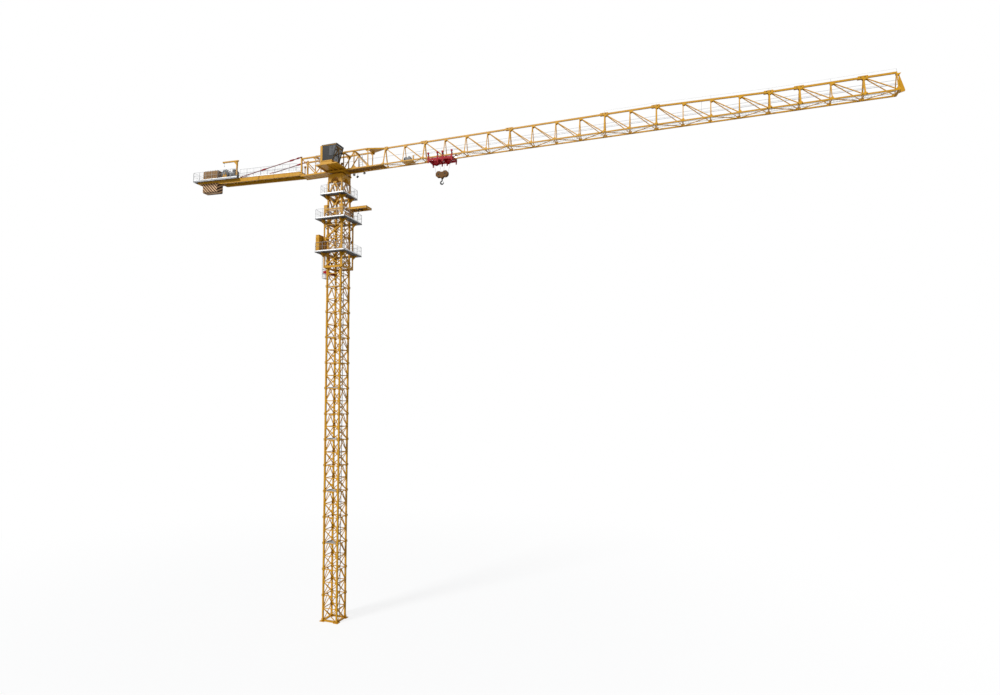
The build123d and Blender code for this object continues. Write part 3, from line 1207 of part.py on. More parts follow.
with BuildPart() as trolley_frame:
    with BuildSketch(Plane.XY.offset(TROLLEY_LOW)):
        with Locations([(TROLLEY_X + x, 0) for x in WHEEL_PLACES]):
            Rectangle(TROLLEY_CROSS, 2 * SIDE_INNER)
        with Locations((TROLLEY_X, 0)):
            with GridLocations(0, 2 * SLOT_HALF + TROLLEY_PLATE, 1, 2):
                Rectangle(WHEEL_PLACES[-1] - WHEEL_PLACES[0], TROLLEY_PLATE)
    extrude(amount=TROLLEY_BEAM)
    sheave_and_axle(TROLLEY_SHEAVE_X, TROLLEY_LOW, TROLLEY_SHEAVE_RADIUS, SLOT_HALF + TROLLEY_PLATE)
finish(trolley_frame, "trolley_frame")

# Hook block on four rope falls: two sheaves between heavy cheeks, and a crosshead for the hook
BLOCK_SHEAVE_Z = BLOCK_TOP_Z - BLOCK_SHEAVE_RADIUS - BLOCK_CHEEK_MARGIN
BLOCK_LOW_Z = BLOCK_SHEAVE_Z - BLOCK_SHEAVE_RADIUS - BLOCK_CHEEK_MARGIN - CROSSHEAD_DROP
FALL_HEIGHT = TROLLEY_LOW - BLOCK_SHEAVE_Z


def fall_side(radius, lean):
    """How far a leaning fall's centre line is from the middle of its sheave, level with it."""
    rim = radius * max(cos(lean), cos(radians(360 / MEDIUM_ROUND) - lean))
    return (rim + ROPE_RADIUS + ROPE_GAP) / cos(lean)


with BuildPart() as hoist_falls:
    with BuildSketch(Plane.XZ):
        falls = []
        for side in (-1, 1):
            spread = TROLLEY_SHEAVE_X - BLOCK_SHEAVE_X + side * (TROLLEY_SHEAVE_RADIUS - BLOCK_SHEAVE_RADIUS)
            lean = atan(spread / FALL_HEIGHT)
            high = TROLLEY_SHEAVE_X + side * fall_side(TROLLEY_SHEAVE_RADIUS, lean)
            low = BLOCK_SHEAVE_X + side * fall_side(BLOCK_SHEAVE_RADIUS, lean)
            overrun = (high - low) * FALL_OVERRUN / FALL_HEIGHT
            for end in (-1, 1):
                head = (TROLLEY_X + end * (high + 2 * overrun), TROLLEY_LOW + 2 * FALL_OVERRUN)
                foot = (TROLLEY_X + end * (low - 2 * overrun), BLOCK_SHEAVE_Z - 2 * FALL_OVERRUN)
                falls.append((head, foot))
        lattice(falls, 2 * ROPE_RADIUS)
        with Locations((TROLLEY_X, (TROLLEY_LOW + BLOCK_SHEAVE_Z) / 2)):
            Rectangle(TROLLEY_LENGTH, FALL_HEIGHT + 2 * FALL_OVERRUN, mode=Mode.INTERSECT)
    extrude(amount=ROPE_RADIUS, both=True)
finish(hoist_falls, "hoist_falls")
with BuildPart() as hook_block:
    cheek_radius = BLOCK_SHEAVE_RADIUS + BLOCK_CHEEK_MARGIN
    for side_y in (-1, 1):
        with BuildSketch(Plane.XZ.offset(side_y * (SLOT_HALF + BLOCK_CHEEK / 2))):
            with Locations([(TROLLEY_X + x, BLOCK_SHEAVE_Z) for x in (-BLOCK_SHEAVE_X, BLOCK_SHEAVE_X)]):
                RegularPolygon(cheek_radius, CHEEK_SIDES, major_radius=False, rotation=180 / CHEEK_SIDES)
            with Locations((TROLLEY_X, BLOCK_LOW_Z)):
                Rectangle(2 * CROSSHEAD_HALF, CROSSHEAD_HEIGHT, align=(Align.CENTER, Align.MIN))
        extrude(amount=BLOCK_CHEEK / 2, both=True)
    box(
        (TROLLEY_X - CROSSHEAD_HALF, -SLOT_HALF, BLOCK_LOW_Z),
        (TROLLEY_X + CROSSHEAD_HALF, SLOT_HALF, BLOCK_LOW_Z + CROSSHEAD_HEIGHT),
    )
    sheave_and_axle(BLOCK_SHEAVE_X, BLOCK_SHEAVE_Z, BLOCK_SHEAVE_RADIUS, SLOT_HALF + BLOCK_CHEEK)
finish(hook_block, "hook_block")
with BuildPart() as load_hook:
    shank_top = BLOCK_LOW_Z - HOOK_GAP
    with BuildSketch(Plane.XY.offset(shank_top)):
        with Locations((TROLLEY_X, 0)):
            RegularPolygon(HOOK_SHANK_RADIUS, SMALL_ROUND)
    extrude(amount=-HOOK_SHANK)
    with BuildSketch(Plane.XZ):
        hook_z = shank_top - HOOK_SHANK - HOOK_RADIUS + HOOK_BOWL_SHIFT
        with Locations((TROLLEY_X, hook_z)):
            RegularPolygon(HOOK_RADIUS, MEDIUM_ROUND)
        with Locations((TROLLEY_X, hook_z + HOOK_BOWL_SHIFT)):
            RegularPolygon(HOOK_BOWL_RADIUS, MEDIUM_ROUND, mode=Mode.SUBTRACT)
            Polygon(
                (0, 0),
                (HOOK_RADIUS, 0),
                (HOOK_RADIUS, HOOK_MOUTH),
                (HOOK_SHANK_RADIUS, HOOK_MOUTH),
                align=None,
                mode=Mode.SUBTRACT,
            )
    extrude(amount=HOOK_THICK / 2, both=True)
finish(load_hook, "load_hook")
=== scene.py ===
"""Looks of a flat-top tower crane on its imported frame: finishes, fine steelwork and a plain studio."""
import json
import math
import bmesh
import bpy
from bpy.props import FloatProperty, FloatVectorProperty, PointerProperty
from mathutils import Matrix, Vector


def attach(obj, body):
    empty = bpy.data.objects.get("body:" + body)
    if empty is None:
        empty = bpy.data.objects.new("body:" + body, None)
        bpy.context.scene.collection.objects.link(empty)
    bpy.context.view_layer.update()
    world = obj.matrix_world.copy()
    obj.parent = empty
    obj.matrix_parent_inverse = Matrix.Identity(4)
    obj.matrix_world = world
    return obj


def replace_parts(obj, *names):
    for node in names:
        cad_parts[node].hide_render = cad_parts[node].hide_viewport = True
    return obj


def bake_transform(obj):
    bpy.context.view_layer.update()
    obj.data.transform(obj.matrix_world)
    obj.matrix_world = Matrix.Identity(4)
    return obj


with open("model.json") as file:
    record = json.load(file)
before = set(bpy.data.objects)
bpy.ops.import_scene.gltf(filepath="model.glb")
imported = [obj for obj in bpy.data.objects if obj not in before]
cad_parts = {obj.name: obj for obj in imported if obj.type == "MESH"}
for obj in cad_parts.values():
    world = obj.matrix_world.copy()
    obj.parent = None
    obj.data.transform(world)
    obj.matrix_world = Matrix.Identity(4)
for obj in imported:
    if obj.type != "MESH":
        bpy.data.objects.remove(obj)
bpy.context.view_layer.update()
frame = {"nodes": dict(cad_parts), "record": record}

NODES = frame["nodes"]
NODE_SLOT = {row["node"]: row["material_slot"] for row in frame["record"]["subparts"]}

bl_info = {
    "name": "Tower crane looks",
    "version": (1, 0, 0),
    "blender": (4, 5, 0),
    "location": "View3D > Sidebar > Crane",
    "description": "Dresses a packed tower crane with finishes and fine steelwork",
    "category": "Object",
}


def colour_setting(name, description, default):
    """One colour that a user may change."""
    return FloatVectorProperty(
        name=name, description=description, subtype="COLOR", size=3, min=0.0, max=1.0, default=default
    )


class CraneColours(bpy.types.PropertyGroup):
    """Colours of the crane's finishes."""

    yellow: colour_setting("Yellow", "Paint of the steelwork", (0.59, 0.292, 0.012))
    red: colour_setting("Red", "Paint of the trolley, tie rods and jack", (0.36, 0.002, 0.010))
    grey: colour_setting("Grey", "Paint of the winch", (0.15, 0.155, 0.16))
    zinc: colour_setting("Zinc", "Galvanised railings and gratings", (0.40, 0.41, 0.42))
    cab: colour_setting("Cab", "Dark panels of the cab", (0.015, 0.0145, 0.015))
    stripe: colour_setting("Stripe", "Dark warning stripes", (0.045, 0.014, 0.003))
    rust: colour_setting("Rust", "Rust where the paint has gone", (0.16, 0.06, 0.022))
    floor: colour_setting("Floor", "Plain studio floor", (0.45, 0.45, 0.45))


class CraneStage(bpy.types.PropertyGroup):
    """Camera and light."""

    lens: FloatProperty(name="Lens", description="Focal length", default=21.924, unit="CAMERA")
    yaw: FloatProperty(
        name="Yaw", description="Turn of the camera to the left", default=math.radians(20.671), subtype="ANGLE"
    )
    pitch: FloatProperty(
        name="Pitch", description="Tilt of the camera upwards", default=math.radians(1.881), subtype="ANGLE"
    )
    roll: FloatProperty(
        name="Roll", description="Turn of the camera about its view", default=math.radians(0.334), subtype="ANGLE"
    )
    place: FloatVectorProperty(
        name="Place", description="Where the camera stands", default=(19.585, -31.105, 13.06), subtype="TRANSLATION"
    )
    shift_x: FloatProperty(name="Shift X", description="Lens shift to the side", default=0.0389)
    shift_y: FloatProperty(name="Shift Y", description="Lens shift upwards", default=0.0288)
    sun: FloatProperty(name="Sun", description="Strength of the key light", default=2.9)
    sky: FloatProperty(name="Sky", description="Strength of the light from all round", default=0.38)


class Wire:
    """A socket that can be reckoned with: each operator adds a Math node."""

    def __init__(self, sheet, socket):
        self.sheet = sheet
        self.socket = socket

    def maths(self, operation, first, second=0.5):
        """Add a Math node and wrap its result."""
        return self.sheet.node("ShaderNodeMath", {"operation": operation}, {0: first, 1: second})

    def __add__(self, other):
        return self.maths("ADD", self, other)

    def __radd__(self, other):
        return self.maths("ADD", other, self)

    def __sub__(self, other):
        return self.maths("SUBTRACT", self, other)

    def __rsub__(self, other):
        return self.maths("SUBTRACT", other, self)

    def __mul__(self, other):
        return self.maths("MULTIPLY", self, other)

    def __rmul__(self, other):
        return self.maths("MULTIPLY", other, self)

    def __mod__(self, other):
        return self.maths("FLOORED_MODULO", self, other)

    def __gt__(self, other):
        return self.maths("GREATER_THAN", self, other)

    def __abs__(self):
        return self.maths("ABSOLUTE", self)

    def ramp(self, low, high):
        """0 below low, 1 above high, and smooth between them."""
        limits = {"Value": self, "From Min": low, "From Max": high}
        return self.sheet.node("ShaderNodeMapRange", {"interpolation_type": "SMOOTHSTEP"}, limits)


class Sheet:
    """A tree of nodes being filled, with one method for every kind of node."""

    def __init__(self, tree):
        self.tree = tree

    def link(self, value, target):
        """Give a socket its wire, number, vector or colour."""
        if isinstance(value, Wire):
            self.tree.links.new(value.socket, target)
        elif isinstance(value, tuple) and len(target.default_value) == 4:
            target.default_value = (*value, 1.0)
        else:
            target.default_value = value

    def node(self, kind, settings, sockets, output=0):
        """Add a node: its settings first, then the values or wires of its sockets."""
        made = self.tree.nodes.new(kind)
        for key, value in settings.items():
            setattr(made, key, value)
        for key, value in sockets.items():
            self.link(value, made.inputs[key])
        return Wire(self, made.outputs[output])

    def background_share(self):
        """1 for rays that show the background: straight, off gloss or through glass."""
        share = self.node("ShaderNodeLightPath", {}, {}, "Is Camera Ray")
        for kind in ("Is Glossy Ray", "Is Transmission Ray"):
            share = share.maths("MAXIMUM", share, self.node("ShaderNodeLightPath", {}, {}, kind))
        return share

    def mixed(self, share, first, second, output):
        """Mix two shaders into the tree's output node."""
        both = self.node("ShaderNodeMixShader", {}, {0: share, 1: first, 2: second})
        self.link(both, self.tree.nodes[output].inputs["Surface"])


class Finish(Sheet):
    """A material being made on its Principled shader."""

    def __init__(self, name, **sockets):
        self.material = bpy.data.materials.new(name)
        self.material.use_nodes = True
        super().__init__(self.material.node_tree)
        self.shader = self.tree.nodes["Principled BSDF"]
        self.place = self.node("ShaderNodeTexCoord", {}, {}, "Object")
        self.set(**sockets)

    def set(self, **sockets):
        """Set the shader's own sockets, named with underscores for spaces."""
        for key, value in sockets.items():
            self.link(value, self.shader.inputs[key.replace("_", " ")])

    def noise(self, scale, detail=3.0, place=None):
        """Soft random patches, so many to a metre."""
        sockets = {"Vector": place or self.place, "Scale": scale, "Detail": detail}
        return self.node("ShaderNodeTexNoise", {}, sockets, "Fac")

    def stretched(self, x, y, z):
        """The place on the object, scaled along each axis."""
        return self.node("ShaderNodeVectorMath", {"operation": "MULTIPLY"}, {0: self.place, 1: (x, y, z)})

    def axis(self, name, vector=None):
        """One part of a vector, or of the place on the object."""
        return self.node("ShaderNodeSeparateXYZ", {}, {0: vector or self.place}, name)

    def blend(self, share, first, second):
        """Mix two colours."""
        return self.node("ShaderNodeMix", {"data_type": "RGBA"}, {0: share, 6: first, 7: second}, 2)

    def bump(self, height, strength, distance):
        """Give the shader a relief from a height."""
        sockets = {"Strength": strength, "Distance": distance, "Height": height}
        self.set(Normal=self.node("ShaderNodeBump", {}, sockets, "Normal"))


def shade(colour, amount):
    """A colour made lighter or darker by one factor."""
    return tuple(min(1.0, channel * amount) for channel in colour)


def painted(name, colour, rust, wear=1.0, rough=0.42, gloss=0.22):
    """Weathered paint: faded patches, grime that runs down, chips with rust and a slight orange peel."""
    finish = Finish(name, Metallic=0.0, Specular_IOR_Level=gloss)
    patches = finish.noise(0.9, 4.0).ramp(0.35, 0.7)
    streaks = finish.noise(2.4, 5.0, finish.stretched(6.0, 6.0, 0.35)).ramp(0.52, 0.78)
    chips = finish.noise(21.0, 6.0).ramp(0.70 - 0.02 * wear, 0.74 - 0.02 * wear)
    faded = finish.blend(patches * 0.5, tuple(colour), shade(colour, 0.86))
    grimy = finish.blend(streaks * (0.28 * wear), faded, shade(colour, 0.45))
    coat = finish.blend(chips * (0.8 * min(wear, 1.0)), grimy, tuple(rust))
    finish.set(Base_Color=coat, Roughness=rough + streaks * 0.18 + chips * 0.25)
    finish.bump(finish.noise(60.0, 2.0) - chips * 0.6, 0.18, 0.004)
    return finish.material


def zinc_finish(name, colour):
    """Galvanised steel: spangle, dull patches and a little white bloom."""
    finish = Finish(name, Metallic=0.25, Specular_IOR_Level=0.3)
    spangle = finish.node("ShaderNodeTexVoronoi", {}, {"Vector": finish.place, "Scale": 34.0}, "Color")
    tone = finish.axis("X", spangle)
    bloom = finish.noise(3.0, 5.0).ramp(0.45, 0.75)
    plain = finish.blend(tone * 0.4, tuple(colour), shade(colour, 0.78))
    finish.set(Base_Color=finish.blend(bloom * 0.5, plain, shade(colour, 1.25)), Roughness=0.42 + bloom * 0.22)
    finish.bump(tone, 0.1, 0.002)
    return finish.material


def steel_finish(name, colour, rough, streak, metal=0.85):
    """Bare or oiled steel with fine marks along it."""
    finish = Finish(name, Metallic=metal, Specular_IOR_Level=0.3)
    marks = finish.noise(streak, 4.0, finish.stretched(1.0, 1.0, 8.0))
    film = finish.noise(5.0, 5.0).ramp(0.45, 0.8)
    finish.set(Base_Color=finish.blend(film * 0.6, tuple(colour), shade(colour, 0.6)))
    finish.set(Roughness=rough + marks * 0.2 + film * 0.15)
    finish.bump(marks, 0.1, 0.002)
    return finish.material


def glass_finish(name):
    """Dark tinted cab glass with a faint film of dust."""
    finish = Finish(name, Metallic=0.0, Specular_IOR_Level=0.8, Coat_Weight=1.0)
    dust = finish.noise(6.0, 5.0).ramp(0.4, 0.8)
    finish.set(Base_Color=finish.blend(dust * 0.25, (0.02, 0.024, 0.03), (0.16, 0.17, 0.18)))
    finish.set(Roughness=0.05 + dust * 0.12)
    return finish.material


def grating_finish(name, colour):
    """Deck plate with raised bars."""
    bars_per_metre = 40.0
    finish = Finish(name, Metallic=0.1, Specular_IOR_Level=0.3)
    across = abs((finish.axis("X") * bars_per_metre) % 1.0 - 0.5)
    along = abs((finish.axis("Y") * bars_per_metre) % 1.0 - 0.5)
    bars = (across * along * 4.0).ramp(0.3, 0.6)
    dirt = finish.noise(4.0, 5.0).ramp(0.4, 0.8)
    finish.set(Base_Color=finish.blend(dirt * 0.6, tuple(colour), shade(colour, 0.45)), Roughness=0.5 + dirt * 0.25)
    finish.bump(bars, 0.4, 0.006)
    return finish.material


def ballast_finish(name, pale, dark):
    """Painted slabs: warning stripes below the beams, dusty brown above them."""
    end_x, end_turn = -9.226, 0.6
    stripe_top, stripes_per_metre, dark_from = 26.9, 4.9, 0.47
    finish = Finish(name, Metallic=0.0, Specular_IOR_Level=0.2)
    height = finish.axis("Z")
    along = abs(finish.axis("Y", finish.node("ShaderNodeTexCoord", {}, {}, "Normal"))) > 0.5
    lean = along * finish.axis("X") + (1.0 - along) * (end_x - end_turn * finish.axis("Y")) + height
    stripes = ((lean * stripes_per_metre) % 1.0) > dark_from
    weather = finish.noise(2.2, 5.0).ramp(0.35, 0.75)
    striped = finish.blend(stripes, pale, tuple(dark))
    body = finish.blend(height > stripe_top, striped, (0.30, 0.17, 0.07))
    finish.set(Base_Color=finish.blend(weather * 0.25, body, (0.24, 0.15, 0.08)), Roughness=0.6 + weather * 0.2)
    finish.bump(finish.noise(45.0, 4.0), 0.25, 0.004)
    return finish.material


FINISHES = {}
SHADED = dict(
    # The ladder inside the mast takes a dark copy of the zinc: painted shade.
    hook_block="block_paint", ladder="ladder_steel",
    # The slewing ring takes a darker yellow: painted shade under the head.
    slewing_ring_fixed="ring_paint", slewing_ring_turning="ring_paint",
)


class CRANE_OT_finishes(bpy.types.Operator):
    """Make the crane's materials and put them on its steelwork"""

    bl_idname = "crane.finishes"
    bl_label = "Finishes"

    def execute(self, context):
        colours = context.scene.crane_colours
        FINISHES.update(
            yellow_paint=painted("yellow_paint", colours.yellow, colours.rust),
            red_paint=painted("red_paint", colours.red, colours.rust, wear=0.5, gloss=0.12),
            grey_paint=painted("grey_paint", colours.grey, colours.rust, wear=0.5, rough=0.4),
            cab_panels=painted("cab_panels", colours.cab, colours.rust, wear=0.1, rough=0.32, gloss=0.14),
            galvanised=zinc_finish("galvanised", colours.zinc),
            # The deck plate's zinc is darkened to stand for the shaded undersides of the decks: painted shade. Its
            # raised bars and dirt are real.
            deck_plate=grating_finish("deck_plate", shade(colours.zinc, 0.28)),
            bare_steel=steel_finish("bare_steel", (0.45, 0.45, 0.46), rough=0.28, streak=30.0),
            dark_steel=steel_finish("dark_steel", (0.022, 0.023, 0.022), rough=0.45, streak=12.0, metal=0.2),
            wire_rope=steel_finish("wire_rope", (0.30, 0.30, 0.31), rough=0.45, streak=60.0),
            dark_glass=glass_finish("dark_glass"),
            ballast_paint=ballast_finish("ballast_paint", (0.78, 0.50, 0.28), colours.stripe),
            rod_paint=painted("rod_paint", (0.20, 0.035, 0.03), colours.rust, rough=0.5, gloss=0.15),
            toe_boards=zinc_finish("toe_boards", (0.80, 0.81, 0.82)),
            # A dark copy of the zinc for the ladder inside the mast: painted shade. Its spangle and bloom are real.
            ladder_steel=zinc_finish("ladder_steel", (0.10, 0.09, 0.075)),
            block_paint=painted("block_paint", (0.145, 0.064, 0.012), colours.rust, wear=1.2, rough=0.5, gloss=0.1),
            # A darker copy of the yellow paint for the slewing ring, its teeth and bolts and the head's walkway:
            # painted shade of the head above them. Its grime and chips are real wear.
            ring_paint=painted("ring_paint", (0.30, 0.135, 0.008), colours.rust, wear=1.2, rough=0.5, gloss=0.1),
        )
        for node, piece in NODES.items():
            piece.data.materials.clear()
            piece.data.materials.append(FINISHES[SHADED.get(node, NODE_SLOT[node])])
        return {"FINISHED"}


# Directions, and the two sides or ends of a thing
ALONG = (1.0, 0.0, 0.0)
ACROSS = (0.0, 1.0, 0.0)
UP = (0.0, 0.0, 1.0)
DOWN = (0.0, 0.0, -1.0)
BOTH = (-1, 1)
SIDES = {"near": (0, -1), "right": (1, 0), "far": (0, 1), "left": (-1, 0)}
STILL = Matrix.Identity(4)
QUARTER_X = Matrix.Rotation(math.pi / 2, 4, "X")
QUARTER_Z = Matrix.Rotation(math.pi / 2, 4, "Z")

# Levels and lines of the frame, in metres at the model's own scale
MAST_HALF = 0.455
MAST_FACE = 0.47
SECTION = 1.5
SECTIONS = 16
RUNG = 0.0075
CAGE_FACE = 0.615
CAGE_FLOOR = 20.635
CAGE_BAY = 0.81625
DECKS = ((1.0, 21.48), (1.0, 23.44), (0.8, 24.91))
RAIL_TOP = 0.55
RAIL_MIDDLE = 0.31
JACK_X = -0.663
MONORAIL_Y = 0.27
RING_LOW = 26.157
RING_HIGH = 26.193
GAUGE = 0.31
HEAD_BACK = -2.475
JIB_START = 3.045
PANEL = 1.25
PANELS = 20
JIB_LOW = 26.39
JIB_TOP = 27.434
TIP_TOP = 27.28
JOINTS = (0, 2, 6, 10, 12, 16, 17, 19)
ROPE = 0.008
TROLLEY_X = 6.65
TROLLEY_AXLE = 26.18
BLOCK_AXLE = 25.465
TROLLEY_SHEAVE = (0.35, 0.15)
BLOCK_SHEAVE = (0.19, 0.14)
TIE_Y = 0.365

# The counter-jib slopes up to its end, and its own lengths run from the head along it
RISE = math.radians(2.0)
WALK_RAIL = (0.32, 4.62)
DECK_RAIL = (4.655, 8.178)
TIE_FOOT = (4.49, 0.0, 0.045)
WINCH_AXLE = Vector((5.84, 0.0, 0.404))
MOTOR_AXLE = Vector((5.37, 0.0, 0.304))


def aim(origin, z_axis, x_axis=ALONG):
    """A place with its own axes: z as given, and x as near to the other as it can be."""
    z = Vector(z_axis).normalized()
    x = Vector(x_axis) - z * Vector(x_axis).dot(z)
    x = x.normalized() if x.length > 1e-4 else z.orthogonal().normalized()
    turn = Matrix((x, z.cross(x), z)).transposed().to_4x4()
    return Matrix.Translation(Vector(origin)) @ turn


def side_place(normal, reach, level=0.0):
    """A place on one side of the tower: x along the side, y up, z outwards."""
    out = Vector((*normal, 0.0))
    turn = Matrix((Vector((-normal[1], normal[0], 0.0)), Vector(UP), out)).transposed().to_4x4()
    return Matrix.Translation(out * reach + Vector((0.0, 0.0, level))) @ turn


TAIL = aim((-2.515, 0.0, 26.65), (math.sin(RISE), 0.0, math.cos(RISE)), (-math.cos(RISE), 0.0, math.sin(RISE)))


def upward(place):
    """Which way a place's y runs: 1 up the crane, -1 down it."""
    return 1 if place.col[1].z > 0 else -1


def turns(count, start=0.0, sweep=math.tau, closed=True):
    """Evenly spaced angles over a sweep."""
    steps = count if closed else count - 1
    return [start + sweep * k / steps for k in range(count)]


def circle(radius, angles):
    """Points at one distance from the middle."""
    return [(radius * math.cos(a), radius * math.sin(a)) for a in angles]


def round_axle(middle, radius, angles, y=0.0):
    """Points round an axle that runs across the crane."""
    return [Vector(middle) + Vector((x, y, z)) for x, z in circle(radius, angles)]


def spread(count, length):
    """Middles of equal shares of a length, about 0."""
    return [length * ((k + 0.5) / count - 0.5) for k in range(count)]


def gusset(width, height, cut):
    """The outline of a plate with its four corners cut."""
    w, h = width / 2, height / 2
    return [(-w + cut, -h), (w - cut, -h), (w, -h + cut), (w, h - cut),
            (w - cut, h), (-w + cut, h), (-w, h - cut), (-w, -h + cut)]


def top_chord_z(x):
    """Height of the jib's top chord at one place: it drops over four panels to the tip."""
    share = (x - JIB_START - 12 * PANEL) / (4 * PANEL)
    return JIB_TOP + (TIP_TOP - JIB_TOP) * min(max(share, 0.0), 1.0)


class Steel:
    """One piece of steelwork while it is being made, in metres."""

    def __init__(self, place=STILL):
        self.mesh = bmesh.new()
        self.place = place

    def skin(self, rings, smooth=False, loop=False):
        """Join rings of points into a closed skin."""
        rows = [[self.mesh.verts.new(self.place @ Vector(point)) for point in ring] for ring in rings]
        pairs = list(zip(rows, rows[1:])) + ([(rows[-1], rows[0])] if loop else [])
        count = len(rows[0])
        for low, high in pairs:
            for k in range(count):
                after = (k + 1) % count
                self.mesh.faces.new((low[k], low[after], high[after], high[k])).smooth = smooth
        if not loop:
            self.mesh.faces.new(tuple(reversed(rows[0])))
            self.mesh.faces.new(tuple(rows[-1]))

    def prism(self, outline, low, high, place=STILL):
        """A flat outline given thickness along the place's z."""
        self.skin([[place @ Vector((x, y, z)) for x, y in outline] for z in (low, high)])

    def plate(self, x, y, width, height, cut, place, proud=0.007):
        """A node plate with cut corners, let into the place's face and standing proud of it."""
        self.prism([(x + u, y + v) for u, v in gusset(width, height, cut)], -0.001, proud, place)

    def block(self, corner, opposite, place=STILL):
        """A box between two opposite corners, given in any order."""
        low, high = zip(*(sorted(pair) for pair in zip(corner, opposite)))
        corners = [(low[0], low[1]), (high[0], low[1]), (high[0], high[1]), (low[0], high[1])]
        self.prism(corners, low[2], high[2], place)

    def bar(self, start, end, width, depth, across=ACROSS):
        """A flat bar: its width runs along across."""
        start, end = Vector(start), Vector(end)
        w, d = width / 2, depth / 2
        corners = [(-w, -d), (w, -d), (w, d), (-w, d)]
        self.prism(corners, 0.0, (end - start).length, aim(start, end - start, across))

    def lathe(self, profile, place=STILL, sides=20, smooth=True, loop=False):
        """Turn a profile of radii and heights about the place's z."""
        angles = turns(sides)
        rings = [[place @ Vector((x, y, height)) for x, y in circle(radius, angles)] for radius, height in profile]
        self.skin(rings, smooth, loop)

    def rod(self, start, end, radius, sides=8):
        """A round bar."""
        start, end = Vector(start), Vector(end)
        self.lathe(((radius, 0.0), (radius, (end - start).length)), aim(start, end - start), sides)

    def tube(self, points, radii, sides=8, loop=False, squash=1.0, side=ACROSS):
        """A round bar bent along points: its size across side is squashed by one factor."""
        points = [Vector(point) for point in points]
        radii = radii if isinstance(radii, (list, tuple)) else [radii] * len(points)
        rings = []
        last = len(points) - 1
        for k, point in enumerate(points):
            before = points[k - 1] if k or loop else point
            after = points[(k + 1) % len(points)] if k < last or loop else point
            place = aim(point, after - before, side)
            rings.append([place @ Vector((squash * x, y, 0.0)) for x, y in circle(radii[k], turns(sides))])
        self.skin(rings, True, loop)

    def bolt(self, at, normal, size, length=0.0):
        """A hexagon head on a washer, with a stud past it if it has a length."""
        place = aim(at, normal)
        self.lathe(((1.25 * size, -0.1 * size), (1.25 * size, 0.15 * size)), place, 10, False)
        self.lathe(((size, 0.1 * size), (size, 0.75 * size), (0.86 * size, 0.9 * size)), place, 6, False)
        if length:
            self.lathe(((0.5 * size, 0.0), (0.5 * size, length)), place, 8)

    def pin(self, middle, axis, radius, length):
        """A pin with a head and an end washer, seen on both sides."""
        half = length / 2
        profile = (
            (1.35 * radius, -half), (1.35 * radius, -half + 0.4 * radius), (radius, -half + 0.4 * radius),
            (radius, half - 0.5 * radius), (1.2 * radius, half - 0.5 * radius),
            (1.2 * radius, half - 0.2 * radius), (0.8 * radius, half - 0.2 * radius), (0.8 * radius, half),
        )
        self.lathe(profile, aim(middle, axis), 12)

    def piece(self, name, body, slot, bevel=0.0, finish=None):
        """Turn it into an object that rides one body, where one is named."""
        if bevel:
            edges = [edge for edge in self.mesh.edges if edge.calc_face_angle(0.0) > 0.9]
            bmesh.ops.bevel(self.mesh, geom=edges, offset=bevel, segments=1, affect="EDGES", clamp_overlap=True)
        bmesh.ops.recalc_face_normals(self.mesh, faces=self.mesh.faces)
        data = bpy.data.meshes.new(name)
        self.mesh.to_mesh(data)
        self.mesh.free()
        data.set_sharp_from_angle(angle=math.radians(38))
        made = bpy.data.objects.new(name, data)
        bpy.context.scene.collection.objects.link(made)
        data.materials.append(FINISHES[finish or slot])
        if body:
            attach(made, body)
        return made


